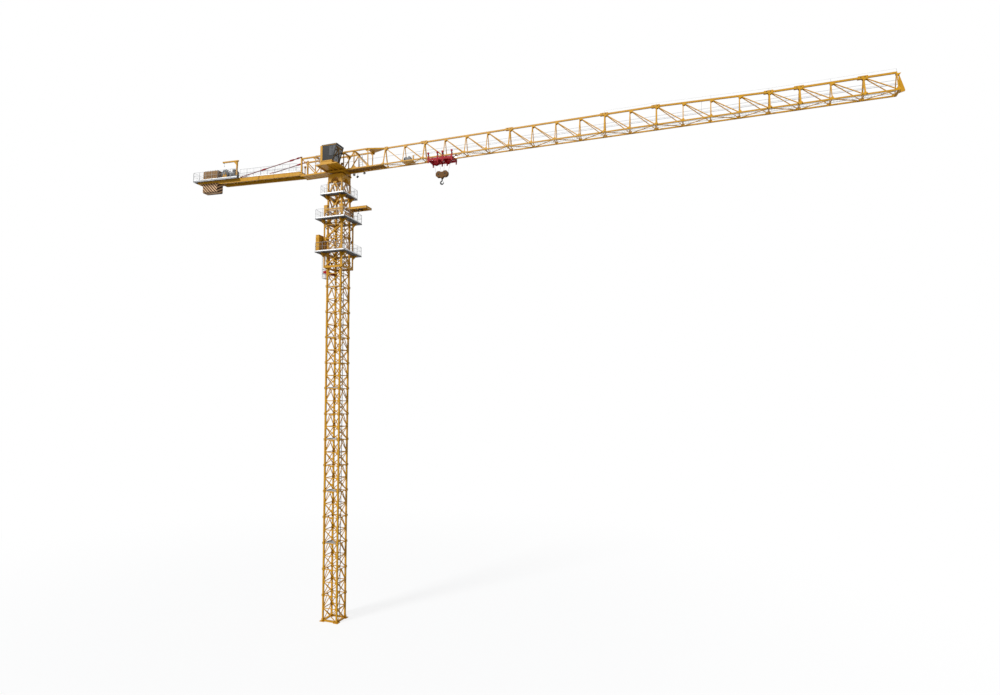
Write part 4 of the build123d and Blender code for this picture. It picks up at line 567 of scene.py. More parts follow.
class CRANE_OT_mast(bpy.types.Operator):
    """Node plates, collar pins, rungs, rest deck edges and foot ribs of the mast"""

    bl_idname = "crane.mast"
    bl_label = "Mast"

    def execute(self, context):
        self.plates()
        self.rungs()
        self.rest_decks()
        self.feet()
        return {"FINISHED"}

    def plates(self):
        """Plates where the bracing meets, and the pins of the collars between sections."""
        plates, pins = Steel(), Steel()
        middle_plates = ((1.46, 0.15, 0.09), (0.375, 0.10, 0.10))
        chord_plates = ((0.75, 0.08, 0.16), (1.45, 0.08, 0.10))
        for normal in SIDES.values():
            place = side_place(normal, MAST_FACE)
            for k in range(SECTIONS):
                level = SECTION * k
                for height, *size in middle_plates:
                    plates.plate(0.0, level + height, *size, 0.02, place, 0.006)
                for x in (-0.375, 0.375):
                    for height, *size in chord_plates:
                        plates.plate(x, level + height, *size, 0.016, place, 0.006)
                if k:
                    for x in (-0.506, 0.506):
                        for y in (level - 0.035, level + 0.035):
                            head = place @ Vector((x, y, 0.052))
                            pins.rod(head, head + Vector((*normal, 0.0)) * 0.014, 0.011, 8)
        plates.piece("mast_node_plates", "mast", "yellow_paint")
        pins.piece("mast_collar_pins", "mast", "dark_steel")

    def rungs(self):
        """Rungs of the mast's ladder, and the clips that hold it."""
        rungs = Steel()
        count, step, half, y = 158, 0.15, 0.11, 0.427
        for k in range(count):
            level = 0.18 + step * k
            rungs.rod((-half, y, level), (half, y, level), RUNG, 6)
        for k in range(SECTIONS):
            level = SECTION * k + 0.73
            for x in (-half, half):
                rungs.block((x - 0.012, 0.436, level), (x + 0.012, 0.458, level + 0.04))
        rungs.piece("ladder_rungs", "mast", "galvanised")

    def rest_decks(self):
        """Upstands and bars of the rest decks, one in every second section."""
        edges = Steel()
        for section in range(3, 14, 2):
            level = SECTION * section
            for x in (-0.336, 0.336):
                edges.block((x - 0.004, -0.468, level + 0.02), (x + 0.004, -0.052, level + 0.06))
            edges.block((-0.338, -0.056, level + 0.02), (0.338, -0.048, level + 0.06))
            for k in range(1, 8):
                y = -0.46 + 0.05 * k
                edges.bar((-0.33, y, level - 0.006), (0.33, y, level - 0.006), 0.006, 0.012)
        edges.piece("rest_deck_edges", "mast", "galvanised")

    def feet(self):
        """Ribs round the mast's four feet, lower on the outer sides."""
        feet = Steel()
        for x in (-MAST_HALF, MAST_HALF):
            for y in (-MAST_HALF, MAST_HALF):
                for u, v in SIDES.values():
                    rib = aim((x + 0.056 * u, y + 0.056 * v, 0.03), (-v, u, 0), (u, v, 0))
                    tall = 0.15 if u * x < 0 or v * y < 0 else 0.13
                    feet.prism([(0, 0), (0.075, 0), (0, upward(rib) * tall)], -0.006, 0.006, rib)
        feet.piece("foot_ribs", "mast", "yellow_paint")


class CRANE_OT_railings(bpy.types.Operator):
    """Railings of the decks and the counter-jib, with their bars and toe boards"""

    bl_idname = "crane.railings"
    bl_label = "Railings"

    def execute(self, context):
        self.decks()
        self.hanging_platform()
        self.counter_jib()
        return {"FINISHED"}

    def fill(self, bars, place, start, end, step):
        """Fill one railing with a middle rail and bars: x along it, y up from its deck."""
        bars.rod(place @ Vector((start, RAIL_MIDDLE, 0)), place @ Vector((end, RAIL_MIDDLE, 0)), 0.005, 6)
        count = max(2, round((end - start) / step))
        for k in range(1, count):
            x = start + (end - start) * k / count
            bars.rod(place @ Vector((x, 0.04, 0)), place @ Vector((x, RAIL_TOP - 0.012, 0)), 0.003, 4)

    def fence(self, parts, place, start, end, step, bays):
        """One whole railing: posts on foot plates, a bent top rail, a toe board and its filling."""
        posts, bars, toes = parts
        radius, foot = 0.0085, 0.02
        high = RAIL_TOP - 0.009
        corners = [(start, 0.0), (start, high - 0.03), (start + 0.009, high - 0.009), (start + 0.03, high),
                   (end - 0.03, high), (end - 0.009, high - 0.009), (end, high - 0.03), (end, 0.0)]
        posts.tube([place @ Vector((x, y, 0)) for x, y in corners], radius, 8)
        for k in range(bays + 1):
            x = start + (end - start) * k / bays
            if 0 < k < bays:
                posts.rod(place @ Vector((x, 0.0, 0)), place @ Vector((x, high, 0)), radius, 8)
            left, right = max(x - foot, start - 0.0095), min(x + foot, end + 0.0095)
            posts.block((left, 0.0, -0.0105), (right, 0.006, 0.0105), place)
        toes.block((start, 0.004, 0.002), (end, 0.062, 0.006), place)
        self.fill(bars, place, start, end, step)

    def decks(self):
        """Railings round the climbing frame's decks."""
        fences, bars, toes = parts = Steel(), Steel(), Steel()
        for half, level in DECKS:
            reach = half - 0.042
            for normal in SIDES.values():
                self.fence(parts, side_place(normal, half - 0.011, level), -reach, reach, 0.1, 4)
        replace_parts(fences.piece("deck_fences", "climbing_frame", "galvanised"), "deck_railings")
        bars.piece("deck_railing_bars", "climbing_frame", "galvanised")
        toes.piece("deck_toe_boards", "climbing_frame", "galvanised", finish="toe_boards")

    def hanging_platform(self):
        """Bars of the small platform under the jack."""
        bars = Steel()
        floor, back, front, half = 20.074, -0.974, -0.746, 0.229
        for y in (-half, half):
            self.fill(bars, Matrix.Translation((0, y, floor)) @ QUARTER_X, back, front, 0.05)
        for x in (back, front):
            self.fill(bars, Matrix.Translation((x, 0, floor)) @ QUARTER_Z @ QUARTER_X, -half, half, 0.05)
        bars.piece("hanging_platform_bars", "climbing_frame", "galvanised")

    def counter_jib(self):
        """Railings of the counter-jib's walkway and of its end deck."""
        fences, bars, toes = parts = Steel(), Steel(), Steel()
        floor = TAIL @ Matrix.Translation((0, 0, 0.024))
        for side in BOTH:
            walk = floor @ Matrix.Translation((0, side * 0.309, 0)) @ QUARTER_X
            self.fence(parts, walk, *WALK_RAIL, 0.12, 8)
            deck = floor @ Matrix.Translation((0, side * 0.549, 0)) @ QUARTER_X
            self.fence(parts, deck, *DECK_RAIL, 0.12, 7)
        end = floor @ Matrix.Translation((DECK_RAIL[1] + 0.001, 0, 0)) @ QUARTER_Z @ QUARTER_X
        self.fence(parts, end, -0.518, 0.518, 0.1, 2)
        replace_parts(fences.piece("counter_fences", "upper", "galvanised"), "counter_railings")
        bars.piece("counter_railing_bars", "upper", "galvanised")
        toes.piece("counter_toe_boards", "upper", "galvanised", finish="toe_boards")


class CRANE_OT_climbing_frame(bpy.types.Operator):
    """Node plates, guide bolts, doors, hoses, yoke pins and section hoist of the climbing frame"""

    bl_idname = "crane.climbing_frame"
    bl_label = "Climbing frame"

    def execute(self, context):
        self.cage()
        self.power_pack()
        self.jack()
        self.monorail()
        return {"FINISHED"}

    def cage(self):
        """Plates on the four sides, open on the right, and the bolts of the guide shoes."""
        plates, bolts = Steel(), Steel()
        for side, normal in SIDES.items():
            place = side_place(normal, CAGE_FACE, CAGE_FLOOR)
            for k in range(1 if side == "right" else 4):
                plates.plate(0.0, CAGE_BAY * (k + 0.5), 0.13, 0.13, 0.03, place)
                for x in (-0.52, 0.52):
                    plates.plate(x, CAGE_BAY * (k + 1), 0.09, 0.18, 0.02, place)
            for x in (-MAST_HALF, MAST_HALF):
                for y in (0.0, CAGE_BAY):
                    for u in (-0.022, 0.022):
                        for v in (-0.04, 0.04):
                            bolts.bolt(place @ Vector((x + u, y + v, 0.0)), (*normal, 0), 0.009, 0.014)
        plates.piece("cage_node_plates", "climbing_frame", "yellow_paint")
        bolts.piece("guide_shoe_bolts", "climbing_frame", "dark_steel")

    def power_pack(self):
        """Doors, hinges, louvres and handles of the power pack."""
        pack, handles = Steel(), Steel()
        face, low, high = -0.96, 21.58, 22.36
        slats = [22.12 + 0.026 * k for k in range(7)]
        for k in range(3):
            near = face + 0.03 + 0.345 * k
            pack.block((face - 0.008, near, low), (face, near + 0.33, high))
            for level in (low + 0.1, high - 0.1):
                hinge = (face - 0.012, near + 0.012)
                pack.rod((*hinge, level - 0.03), (*hinge, level + 0.03), 0.006, 8)
            for slat in slats:
                pack.block((face - 0.014, near + 0.05, slat), (face - 0.006, near + 0.28, slat + 0.012))
            y = near + 0.29
            grip = [(-0.967, y, 21.95), (-0.985, y, 21.955), (-0.985, y, 22.045), (-0.967, y, 22.05)]
            handles.tube(grip, 0.005, 6)
        pack.block((-0.945, face - 0.008, low), (-0.735, face, high))
        for slat in slats:
            pack.block((-0.925, face - 0.014, slat), (-0.755, face - 0.006, slat + 0.012))
        pack.piece("pack_doors", "climbing_frame", "yellow_paint", bevel=0.0015)
        handles.piece("pack_handles", "climbing_frame", "dark_steel")

    def jack(self):
        """Hoses and gland of the jack, and the pins of its yoke."""
        hoses, pins = Steel(), Steel()
        for x, bend in ((-0.675, 0.02), (-0.645, -0.02)):
            path = [(x, 0.046, 21.86), (x, 0.075, 21.86), (x - 0.01, 0.10, 21.82), (x - 0.03, 0.115, 21.70),
                    (x - 0.05, 0.11 + bend, 21.58), (x - 0.08, 0.09 + bend, 21.53), (-0.725, 0.08 + bend, 21.52)]
            hoses.tube(path, 0.009, 8)
        gland = ((0.052, 0.0), (0.054, 0.006), (0.054, 0.034), (0.050, 0.04), (0.036, 0.04), (0.036, 0.0))
        hoses.lathe(gland, Matrix.Translation((JACK_X, 0, 20.752)), 24, loop=True)
        hoses.piece("jack_hoses", "climbing_frame", "dark_steel")
        pins.pin((JACK_X, 0.0, 20.43), ACROSS, 0.024, 0.15)
        for y in (-0.44, 0.44):
            pins.pin((-0.60, y, 20.355), ALONG, 0.02, 0.25)
        pins.piece("yoke_pins", "mast", "dark_steel")

    def monorail(self):
        """Flanges and ties of the monorail, and the hoist that brings a new section in."""
        rail, hoist = Steel(), Steel()
        start, end = 0.64, 2.02
        for y in (-MONORAIL_Y, MONORAIL_Y):
            for level in (23.992, 24.108):
                rail.block((start, y - 0.042, level), (end + 0.006, y + 0.042, level + 0.01))
            rail.block((end - 0.03, y - 0.044, 23.99), (end + 0.01, y + 0.044, 24.12))
        for k in range(7):
            x = 0.70 + 0.2 * k
            rail.block((x, -0.23, 24.1), (x + 0.015, 0.23, 24.116))
        rail.block((start, -0.235, 24.112), (end, 0.235, 24.118))
        rail.piece("monorail_flanges", "climbing_frame", "yellow_paint")
        middle = 1.34
        for x in (middle - 0.12, middle + 0.12):
            hoist.block((x - 0.02, -0.236, 24.02), (x + 0.02, 0.236, 24.06))
            for y in (-0.232, 0.232):
                hoist.lathe(((0.03, -0.012), (0.03, 0.012)), aim((x, y, 24.05), ACROSS), 16)
        hoist.block((middle - 0.1, -0.05, 24.0), (middle + 0.1, 0.05, 24.03))
        hoist.rod((middle, 0, 24.0), (middle, 0, 23.86), 0.012, 8)
        hook = [(0.0, 23.87), (0.0, 23.83), (-0.015, 23.80), (-0.005, 23.77), (0.02, 23.77), (0.032, 23.795)]
        hoist.tube([(middle + x, 0, z) for x, z in hook], [0.011, 0.012, 0.013, 0.014, 0.012, 0.006], 8)
        hoist.piece("section_hoist", "climbing_frame", "dark_steel")


class CRANE_OT_slewing(bpy.types.Operator):
    """The support's plates, teeth and bolts of the slewing ring, and its drives"""

    bl_idname = "crane.slewing"
    bl_label = "Slewing"

    def execute(self, context):
        self.support()
        self.ring()
        self.drives()
        return {"FINISHED"}

    def support(self):
        """Node plates of the ring's support, and the arches and edges of its box."""
        plates = Steel()
        half_turn = turns(17, 0.0, math.pi, False)
        arch = circle(0.30, half_turn) + circle(0.266, half_turn)[::-1]
        for normal in SIDES.values():
            place = side_place(normal, MAST_HALF + 0.03, 24.3)
            plates.plate(0, 0.035, 0.26, 0.09, 0.03, place)
            plates.plate(0, 1.36, 0.22, 0.1, 0.03, place)
            for x in (-0.36, 0.36):
                plates.plate(x, 0.57, 0.1, 0.22, 0.03, place)
            box = side_place(normal, 0.48, 25.7)
            plates.prism(arch, 0.0, 0.010, box)
            for x in (-0.44, 0.44):
                plates.block((x - 0.008, 0.02, 0.0), (x + 0.008, 0.44, 0.012), box)
            plates.block((-0.47, 0.425, 0.0), (0.47, 0.45, 0.014), box)
        plates.piece("support_plates", "climbing_frame", "yellow_paint")

    def ring(self):
        """Teeth and bolts of the ring's fixed half."""
        teeth, bolts = Steel(), Steel()
        for x, y in circle(1.0, turns(96)):
            base, tip, across = Vector((x, y)) * 0.434, Vector((x, y)) * 0.452, Vector((-y, x))
            tooth = [base - across * 0.009, tip - across * 0.005, tip + across * 0.005, base + across * 0.009]
            teeth.prism(tooth, RING_LOW, RING_HIGH)
        # The teeth and bolts take the darker yellow: painted shade under the head.
        teeth.piece("ring_teeth", "climbing_frame", "dark_steel", finish="ring_paint")
        for x, y in circle(0.40, turns(36)):
            bolts.bolt((x, y, RING_LOW - 0.009), DOWN, 0.011)
        bolts.piece("ring_bolts_fixed", "climbing_frame", "dark_steel", finish="ring_paint")

    def drives(self):
        """Two slewing drives with finned motors, on their shelves."""
        drives, shelf = Steel(), Steel()
        y, foot = 0.535, 26.21
        flange = ((0.045, -0.05), (0.045, -0.012), (0.06, -0.01), (0.06, 0.0))
        housing = ((0.075, 0.0), (0.075, 0.03), (0.06, 0.035), (0.06, 0.14), (0.066, 0.145), (0.066, 0.16),
                   (0.052, 0.165), (0.052, 0.30), (0.046, 0.315))
        for x in (-0.40, 0.40):
            drives.lathe(flange, Matrix.Translation((x, y, foot)), 16)
            drives.lathe(housing, Matrix.Translation((x, y, foot)), 24)
            for u, v in circle(1.0, turns(8)):
                drives.block((0.05, -0.003, 0.0), (0.062, 0.003, 0.13), aim((x, y, foot + 0.165), UP, (u, v, 0)))
            shelf.block((x - 0.085, 0.455, foot - 0.01), (x + 0.085, 0.60, foot + 0.006))
            for u in (-0.078, 0.078):
                rib = aim((x + u, 0.49, foot + 0.005), ALONG, ACROSS)
                shelf.prism([(0.0, 0.0), (0.11, 0.0), (0.0, 0.11)], -0.005, 0.005, rib)
        drives.piece("slewing_drives", "upper", "grey_paint")
        shelf.piece("slewing_drive_shelves", "upper", "yellow_paint")


class CRANE_OT_head(bpy.types.Operator):
    """Node plates, pins, ladder, floor and walkway of the slewing head"""

    bl_idname = "crane.head"
    bl_label = "Slewing head"

    def execute(self, context):
        self.plates()
        self.ladder()
        self.floors()
        return {"FINISHED"}

    def plates(self):
        """Plates where the head's bracing meets its chords, lugs, and the pins of the counter-jib and tie rods."""
        plates, pins = Steel(), Steel()
        verticals = (-2.435, -1.5, -0.525, 0.45, 1.15, 2.075)
        for side in BOTH:
            place = aim((0, side * 0.305, 0), (0, side, 0))
            up = upward(place)
            for k, x in enumerate(verticals):
                for row, level in enumerate((26.475, 27.36)):
                    width = 0.16 if (k + row) % 2 else 0.26
                    plates.plate(x, up * level, width, 0.11, 0.025, place, 0.008)
            lug = side * 0.35
            plates.block((-0.47, lug - 0.006, 26.30), (-0.44, lug + 0.006, 26.35))
            for x in (-0.3, -0.1, 0.1, 0.3):
                plates.block((x - 0.006, lug, 26.35), (x + 0.006, side * 0.478, 26.40))
            for level in (JIB_TOP, JIB_LOW):
                pins.pin((HEAD_BACK, side * GAUGE, level), ALONG, 0.022, 0.12)
            pins.pin((HEAD_BACK, side * TIE_Y, 27.52), ACROSS, 0.016, 0.10)
        plates.piece("head_node_plates", "upper", "yellow_paint")
        pins.piece("head_pins", "upper", "dark_steel")

    def ladder(self):
        """The leaning ladder inside the head."""
        ladder = Steel()
        foot, top, count = Vector((0.0, 0.22, 26.42)), Vector((0.0, 0.10, 27.39)), 7
        left, right = Vector((1.25, 0.0, 0.0)), Vector((1.47, 0.0, 0.0))
        for stile in (left, right):
            ladder.bar(stile + foot, stile + top, 0.012, 0.03)
        for k in range(count):
            rung = foot.lerp(top, (k + 0.5) / count)
            ladder.rod(left + rung, right + rung, RUNG, 6)
        ladder.piece("head_ladder", "upper", "galvanised")

    def floors(self):
        """The floor over the ring, and the slatted walkway toward the jib."""
        floor, walk = Steel(), Steel()
        back, step = -2.42, 0.48
        for k in range(4):
            x = back + step * k
            floor.block((x, -0.318, 26.362), (x + 0.472, 0.318, 26.368))
            floor.block((x + 0.22, -0.312, 26.352), (x + 0.24, 0.312, 26.362))
        for side in BOTH:
            floor.bar((back, side * 0.312, 26.38), (-0.52, side * 0.312, 26.38), 0.012, 0.06)
        floor.piece("head_floor", "upper", "yellow_paint")
        for y in (-0.27, -0.09, 0.09, 0.27):
            walk.bar((0.5, y, 26.432), (3.02, y, 26.432), 0.03, 0.018)
        for k in range(84):
            x = 0.51 + 0.03 * k
            walk.bar((x, -0.27, 26.436), (x, 0.27, 26.436), 0.014, 0.014, ALONG)
        # The walkway takes the darker yellow: painted shade inside the head.
        walk.piece("head_walkway", "upper", "deck_plate", finish="ring_paint")


class CRANE_OT_jib(bpy.types.Operator):
    """Node plates, joint pins, lifeline, walkway, trolley winch drum and tip sheave of the jib"""

    bl_idname = "crane.jib"
    bl_label = "Jib"

    def execute(self, context):
        self.plates()
        self.lifeline()
        self.walkway()
        self.trolley_winch()
        self.tip()
        return {"FINISHED"}

    def plates(self):
        """Plates at every panel point, and the lugs and pins where two sections of the jib meet."""
        plates, pins = Steel(), Steel()
        for k in range(PANELS + 1):
            x = JIB_START + PANEL * k
            head = top_chord_z(x)
            wide = 0.11 if k in JOINTS else 0.08
            for side in BOTH:
                foot = Vector((x + 0.02, side * 0.302, JIB_LOW))
                lean = (Vector((x + 0.02, side * 0.02, head)) - foot).normalized()
                out = Vector(ALONG).cross(lean) * -side
                place = aim(foot + out * 0.013, out)
                up = upward(place)
                length = (head - JIB_LOW) / abs(lean.z)
                low = [(-0.13, 0.03), (wide, 0.03), (wide - 0.02, 0.10), (0.02, 0.15), (-0.06, 0.10)]
                high = [(-wide * 0.6, length - 0.05), (0.16, length - 0.05),
                        (0.10, length - 0.12), (0.0, length - 0.16)]
                for outline in (low, high):
                    plates.prism([(u, up * v) for u, v in outline], -0.001, 0.005, place)
            if k in JOINTS:
                self.joint(plates, pins, x, head)
        plates.piece("jib_node_plates", "upper", "yellow_paint")
        pins.piece("jib_joint_pins", "upper", "dark_steel")

    def joint(self, plates, pins, x, head):
        """Lugs and pins of one joint: a pair of pins through each chord."""
        start, end = max(x - 0.2, JIB_START + 0.002), x + 0.2
        for side in BOTH:
            y = side * GAUGE
            plates.block((x - 0.14, y - 0.036, JIB_LOW - 0.029), (x + 0.14, y + 0.036, JIB_LOW + 0.029))
            for u in (-0.08, 0.08):
                pins.pin((x + u, y, JIB_LOW), ACROSS, 0.016, 0.10)
            plates.block((start, side * 0.05, head - 0.062), (end, side * 0.064, head + 0.066))
        plates.block((start + 0.04, -0.052, head + 0.048), (end - 0.04, 0.052, head + 0.07))
        for u in (-0.08, 0.08):
            if JIB_START < x + u:
                pins.pin((x + u, 0, top_chord_z(x + u) + 0.01), ACROSS, 0.018, 0.13)

    def lifeline(self):
        """Short posts on the outer half of the top chord, with a wire between them."""
        line = Steel()
        posts = [JIB_START + PANEL * k + 0.02 for k in range(10, PANELS + 1, 2)]
        for x in posts:
            line.rod((x, 0, top_chord_z(x) + 0.036), (x, 0, top_chord_z(x) + 0.19), 0.006, 6)
        for first, second in zip(posts, posts[1:]):
            start, end = (Vector((x, 0, top_chord_z(x) + 0.185)) for x in (first, second))
            middle = (start + end) / 2 + Vector((0, 0, -0.007))
            line.tube([start, middle, end], 0.003, 5)
        line.piece("jib_lifeline", "upper", "galvanised")

    def walkway(self):
        """A narrow slatted walkway inside the jib, left out under the trolley's winch."""
        walk = Steel()
        half, slats, step = 0.10, 207, 0.12
        for y in (-half, half):
            walk.bar((3.1, y, 26.414), (28.02, y, 26.414), 0.012, 0.02)
        for k in range(slats):
            x = 3.12 + step * k
            if not 4.3 < x < 4.95:
                walk.bar((x, -half, 26.412), (x, half, 26.412), 0.005, 0.014, ALONG)
        walk.piece("jib_walkway", "upper", "galvanised")

    def trolley_winch(self):
        """Rope turns, flanges and motor of the trolley's winch, on its drum."""
        drive = Steel()
        x, z = 4.45, 26.553
        for height in spread(12, 0.2):
            turn = ((0.109, -0.007), (0.118, -0.004), (0.118, 0.004), (0.109, 0.007))
            drive.lathe(turn, aim((x, height, z), ACROSS), 24)
        for y in (-0.122, 0.116):
            flange = ((0.05, 0.0), (0.145, 0.0), (0.145, 0.006), (0.05, 0.006))
            drive.lathe(flange, aim((x, y, z), ACROSS), 28, smooth=False)
        drive.lathe(((0.07, 0.0), (0.075, 0.01), (0.075, 0.09), (0.06, 0.1)), aim((x, 0.125, z), ACROSS), 20)
        bracket = ((4.57, 26.443), (4.78, 26.443), (4.70, 26.70), (4.62, 26.72))
        drive.skin([[(u, y, v) for u, v in bracket] for y in (-0.15, 0.15)])
        drive.piece("trolley_winch_drive", "upper", "grey_paint")

    def tip(self):
        """The sheave at the jib's tip, its pin and two bolts."""
        tip = Steel()
        x, z = 28.19, 26.62
        groove = ((0.10, -0.02), (0.10, -0.012), (0.086, -0.004), (0.086, 0.004), (0.10, 0.012), (0.10, 0.02))
        tip.lathe(groove, aim((x, 0.055, z), ACROSS), 28)
        tip.pin((x, 0.04, z), ACROSS, 0.016, 0.11)
        for y in (-0.045, 0.045):
            tip.bolt((x - 0.03, y, 26.43), ALONG, 0.012)
        tip.piece("tip_sheave", "upper", "dark_steel")


class CRANE_OT_ropes(bpy.types.Operator):
    """Hoist rope along the jib, its falls to the hook block, and the trolley's rope"""

    bl_idname = "crane.ropes"
    bl_label = "Ropes"

    def execute(self, context):
        self.falls()
        self.wraps("trolley_rope_wraps", "trolley", TROLLEY_SHEAVE, TROLLEY_AXLE, 1)
        self.wraps("block_rope_wraps", "block", BLOCK_SHEAVE, BLOCK_AXLE, -1)
        self.along_jib()
        self.guides()
        return {"FINISHED"}

    def falls(self):
        """Four straight falls, each touching its two sheaves."""
        falls = Steel()
        height = TROLLEY_AXLE - BLOCK_AXLE
        for side in BOTH:
            offset = TROLLEY_SHEAVE[0] - BLOCK_SHEAVE[0] + side * (TROLLEY_SHEAVE[1] - BLOCK_SHEAVE[1])
            lean = math.atan(offset / height)
            high, low = (
                from_middle + side * (radius + 0.0083) / math.cos(lean)
                for from_middle, radius in (TROLLEY_SHEAVE, BLOCK_SHEAVE)
            )
            for end in BOTH:
                head = (TROLLEY_X + end * high, 0, TROLLEY_AXLE)
                foot = (TROLLEY_X + end * low, 0, BLOCK_AXLE)
                falls.rod(head, foot, ROPE * 0.75, 8)
        made = falls.piece("rope_falls", "", "wire_rope")
        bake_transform(made)
        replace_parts(made, "hoist_falls")

    def wraps(self, name, body, sheave, level, up):
        """The rope's half turns on one pair of sheaves: over them, or under them where up is -1."""
        wraps = Steel()
        from_middle, radius = sheave
        for end in BOTH:
            arc = circle(radius + 0.0085, turns(19, -0.15, math.pi + 0.3, False))
            wraps.tube([(TROLLEY_X + end * from_middle + x, 0, level + up * z) for x, z in arc], ROPE * 0.75, 8)
        wraps.piece(name, body, "wire_rope")

    def along_jib(self):
        """The hoist rope from its drum to the jib's tip, and the trolley's rope below it."""
        ropes = Steel()
        drum = TAIL @ (WINCH_AXLE + Vector((-0.2, -0.1, 0.075)))
        ropes.tube([drum, (-2.4, -0.06, 27.05), (0.2, -0.05, 26.93), (28.12, -0.05, 26.93)], ROPE * 0.75, 6)
        ropes.tube([(4.45, 0.05, 26.64), (4.9, 0.05, 26.84), (28.12, 0.05, 26.84)], ROPE * 0.6, 6)
        ropes.piece("hoist_rope", "upper", "wire_rope")

    def guides(self):
        """Two sheaves that lead the hoist rope through the head, each between two posts."""
        guides = Steel()
        groove = ((0.075, -0.016), (0.055, -0.006), (0.055, 0.006), (0.075, 0.016))
        for x, level in ((-2.4, 27.0), (0.2, 26.88)):
            guides.lathe(groove, aim((x, -0.055, level), ACROSS), 24)
            guides.pin((x, -0.055, level), ACROSS, 0.012, 0.09)
            for y in (-0.09, -0.02):
                guides.bar((x, y, 26.42), (x, y, level + 0.03), 0.008, 0.03)
        guides.piece("rope_guide_sheaves", "upper", "yellow_paint")


class CRANE_OT_counter_jib(bpy.types.Operator):
    """Flanges and stiffeners of the beams, pins and deck frames of the counter-jib"""

    bl_idname = "crane.counter_jib"
    bl_label = "Counter-jib"

    def execute(self, context):
        plates, pins, deck = Steel(TAIL), Steel(TAIL), Steel(TAIL)
        splice = 3.10
        for side in BOTH:
            y = side * GAUGE
            plates.block((0.02, y - 0.048, -0.012), (7.98, y + 0.048, 0.004))
            plates.block((0.02, y - 0.048, -0.232), (6.18, y + 0.048, -0.218))
            for k in range(1, 16):
                x = 0.4 * k
                plates.block((x - 0.005, y + side * 0.038, -0.22), (x + 0.005, y + side * 0.047, -0.01))
            for x in (splice - 0.03, splice + 0.03):
                plates.block((x - 0.007, y - 0.056, -0.236), (x + 0.007, y + 0.056, 0.02))
            for level in (-0.19, -0.06):
                pins.pin((splice, y, level), ACROSS, 0.018, 0.14)
                pins.pin((0.03, y, level), ACROSS, 0.02, 0.14)
            pins.pin((TIE_FOOT[0], side * TIE_Y, TIE_FOOT[2]), ACROSS, 0.018, 0.12)
            edge = side * 0.556
            deck.block((4.64, edge - 0.008, -0.045), (8.19, edge + 0.004, 0.03))
            kerb = side * 0.322
            deck.block((0.02, kerb - 0.004, -0.01), (4.6, kerb + 0.004, 0.035))
            for k in range(8):
                x = 4.72 + 0.49 * k
                deck.block((x - 0.012, side * 0.35, -0.04), (x + 0.012, side * 0.55, 0.0))
        deck.block((8.178, -0.55, -0.045), (8.188, 0.55, 0.03))
        plates.piece("beam_flanges", "upper", "yellow_paint")
        pins.piece("counter_pins", "upper", "dark_steel")
        deck.piece("tail_deck_edges", "upper", "galvanised")
        return {"FINISHED"}


class CRANE_OT_ballast(bpy.types.Operator):
    """Lifting eyes, ribs and keeper bars of the ballast"""

    bl_idname = "crane.ballast"
    bl_label = "Ballast"

    def execute(self, context):
        eyes, ribs, keeper = Steel(TAIL), Steel(TAIL), Steel(TAIL)
        start, pitch, slabs, top = 6.47, 0.194, 6, 0.715
        eye = [(-0.03, 0.0), (-0.03, 0.035), (-0.015, 0.053), (0.015, 0.053), (0.03, 0.035), (0.03, 0.0)]
        for k in range(slabs):
            x = start + pitch * k
            for y in (-0.15, 0.15):
                eyes.tube([(x + 0.094, y + u, top + v) for u, v in eye], 0.008, 8, side=ALONG)
            for y in (-0.19, 0.0, 0.19):
                ribs.block((x + 0.03, y - 0.02, top), (x + 0.158, y + 0.02, top + 0.02))
            for side in BOTH:
                ribs.block((x + 0.02, side * 0.266, 0.17), (x + 0.168, side * 0.278, 0.64))
        eyes.piece("ballast_eyes", "upper", "dark_steel")
        ribs.piece("ballast_ribs", "upper", "ballast_paint", bevel=0.003)
        for side in BOTH:
            y = side * 0.352
            keeper.block((6.44, y - 0.018, 0.165), (7.66, y + 0.018, 0.185))
            for x in (6.45, 7.64):
                keeper.rod((x, y, 0.02), (x, y, 0.215), 0.009, 8)
                keeper.bolt((x, y, 0.186), UP, 0.016)
        keeper.piece("ballast_keepers", "upper", "yellow_paint")
        return {"FINISHED"}


class CRANE_OT_tie_rods(bpy.types.Operator):
    """Bars, sleeves, forks and pins of the tie rods"""

    bl_idname = "crane.tie_rods"
    bl_label = "Tie rods"

    def execute(self, context):
        ends, rods, pins = Steel(), Steel(), Steel()
        head, foot = Vector((HEAD_BACK, 0.0, 27.517)), TAIL @ Vector(TIE_FOOT)
        along = (foot - head).normalized()
        for side in BOTH:
            shift = Vector((0, side * TIE_Y, 0))
            rods.bar(head + shift, foot + shift, 0.03, 0.04)
            for share, length in ((0.05, 0.19), (0.15, 0.30), (0.61, 0.34)):
                self.sleeve(ends, pins, head.lerp(foot, share) + shift, along, length)
        made = rods.piece("tie_rod_bars", "upper", "red_paint", bevel=0.003, finish="rod_paint")
        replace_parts(made, "tie_rods")
        ends.piece("tie_rod_sleeves", "upper", "red_paint")
        pins.piece("tie_rod_pins", "upper", "dark_steel")
        return {"FINISHED"}

    def sleeve(self, ends, pins, middle, along, length):
        """One joint of a tie rod: a sleeve with stepped forks at its ends and three pins."""
        half = length / 2
        start = aim(middle - along * (half - 0.02), along, ACROSS)
        ends.prism(gusset(0.072, 0.088, 0.014), 0.0, length - 0.04, start)
        for end in BOTH:
            for past, width, height in ((0.03, 0.05, 0.06), (0.055, 0.036, 0.048)):
                place = aim(middle + along * (end * (half + past)), along, ACROSS)
                ends.prism(gusset(width, height, 0.008), -0.012, 0.012, place)
        pins.pin(middle, ACROSS, 0.016, 0.085)
        for end in BOTH:
            pins.pin(middle + along * (end * (half - 0.04)), ACROSS, 0.013, 0.08)


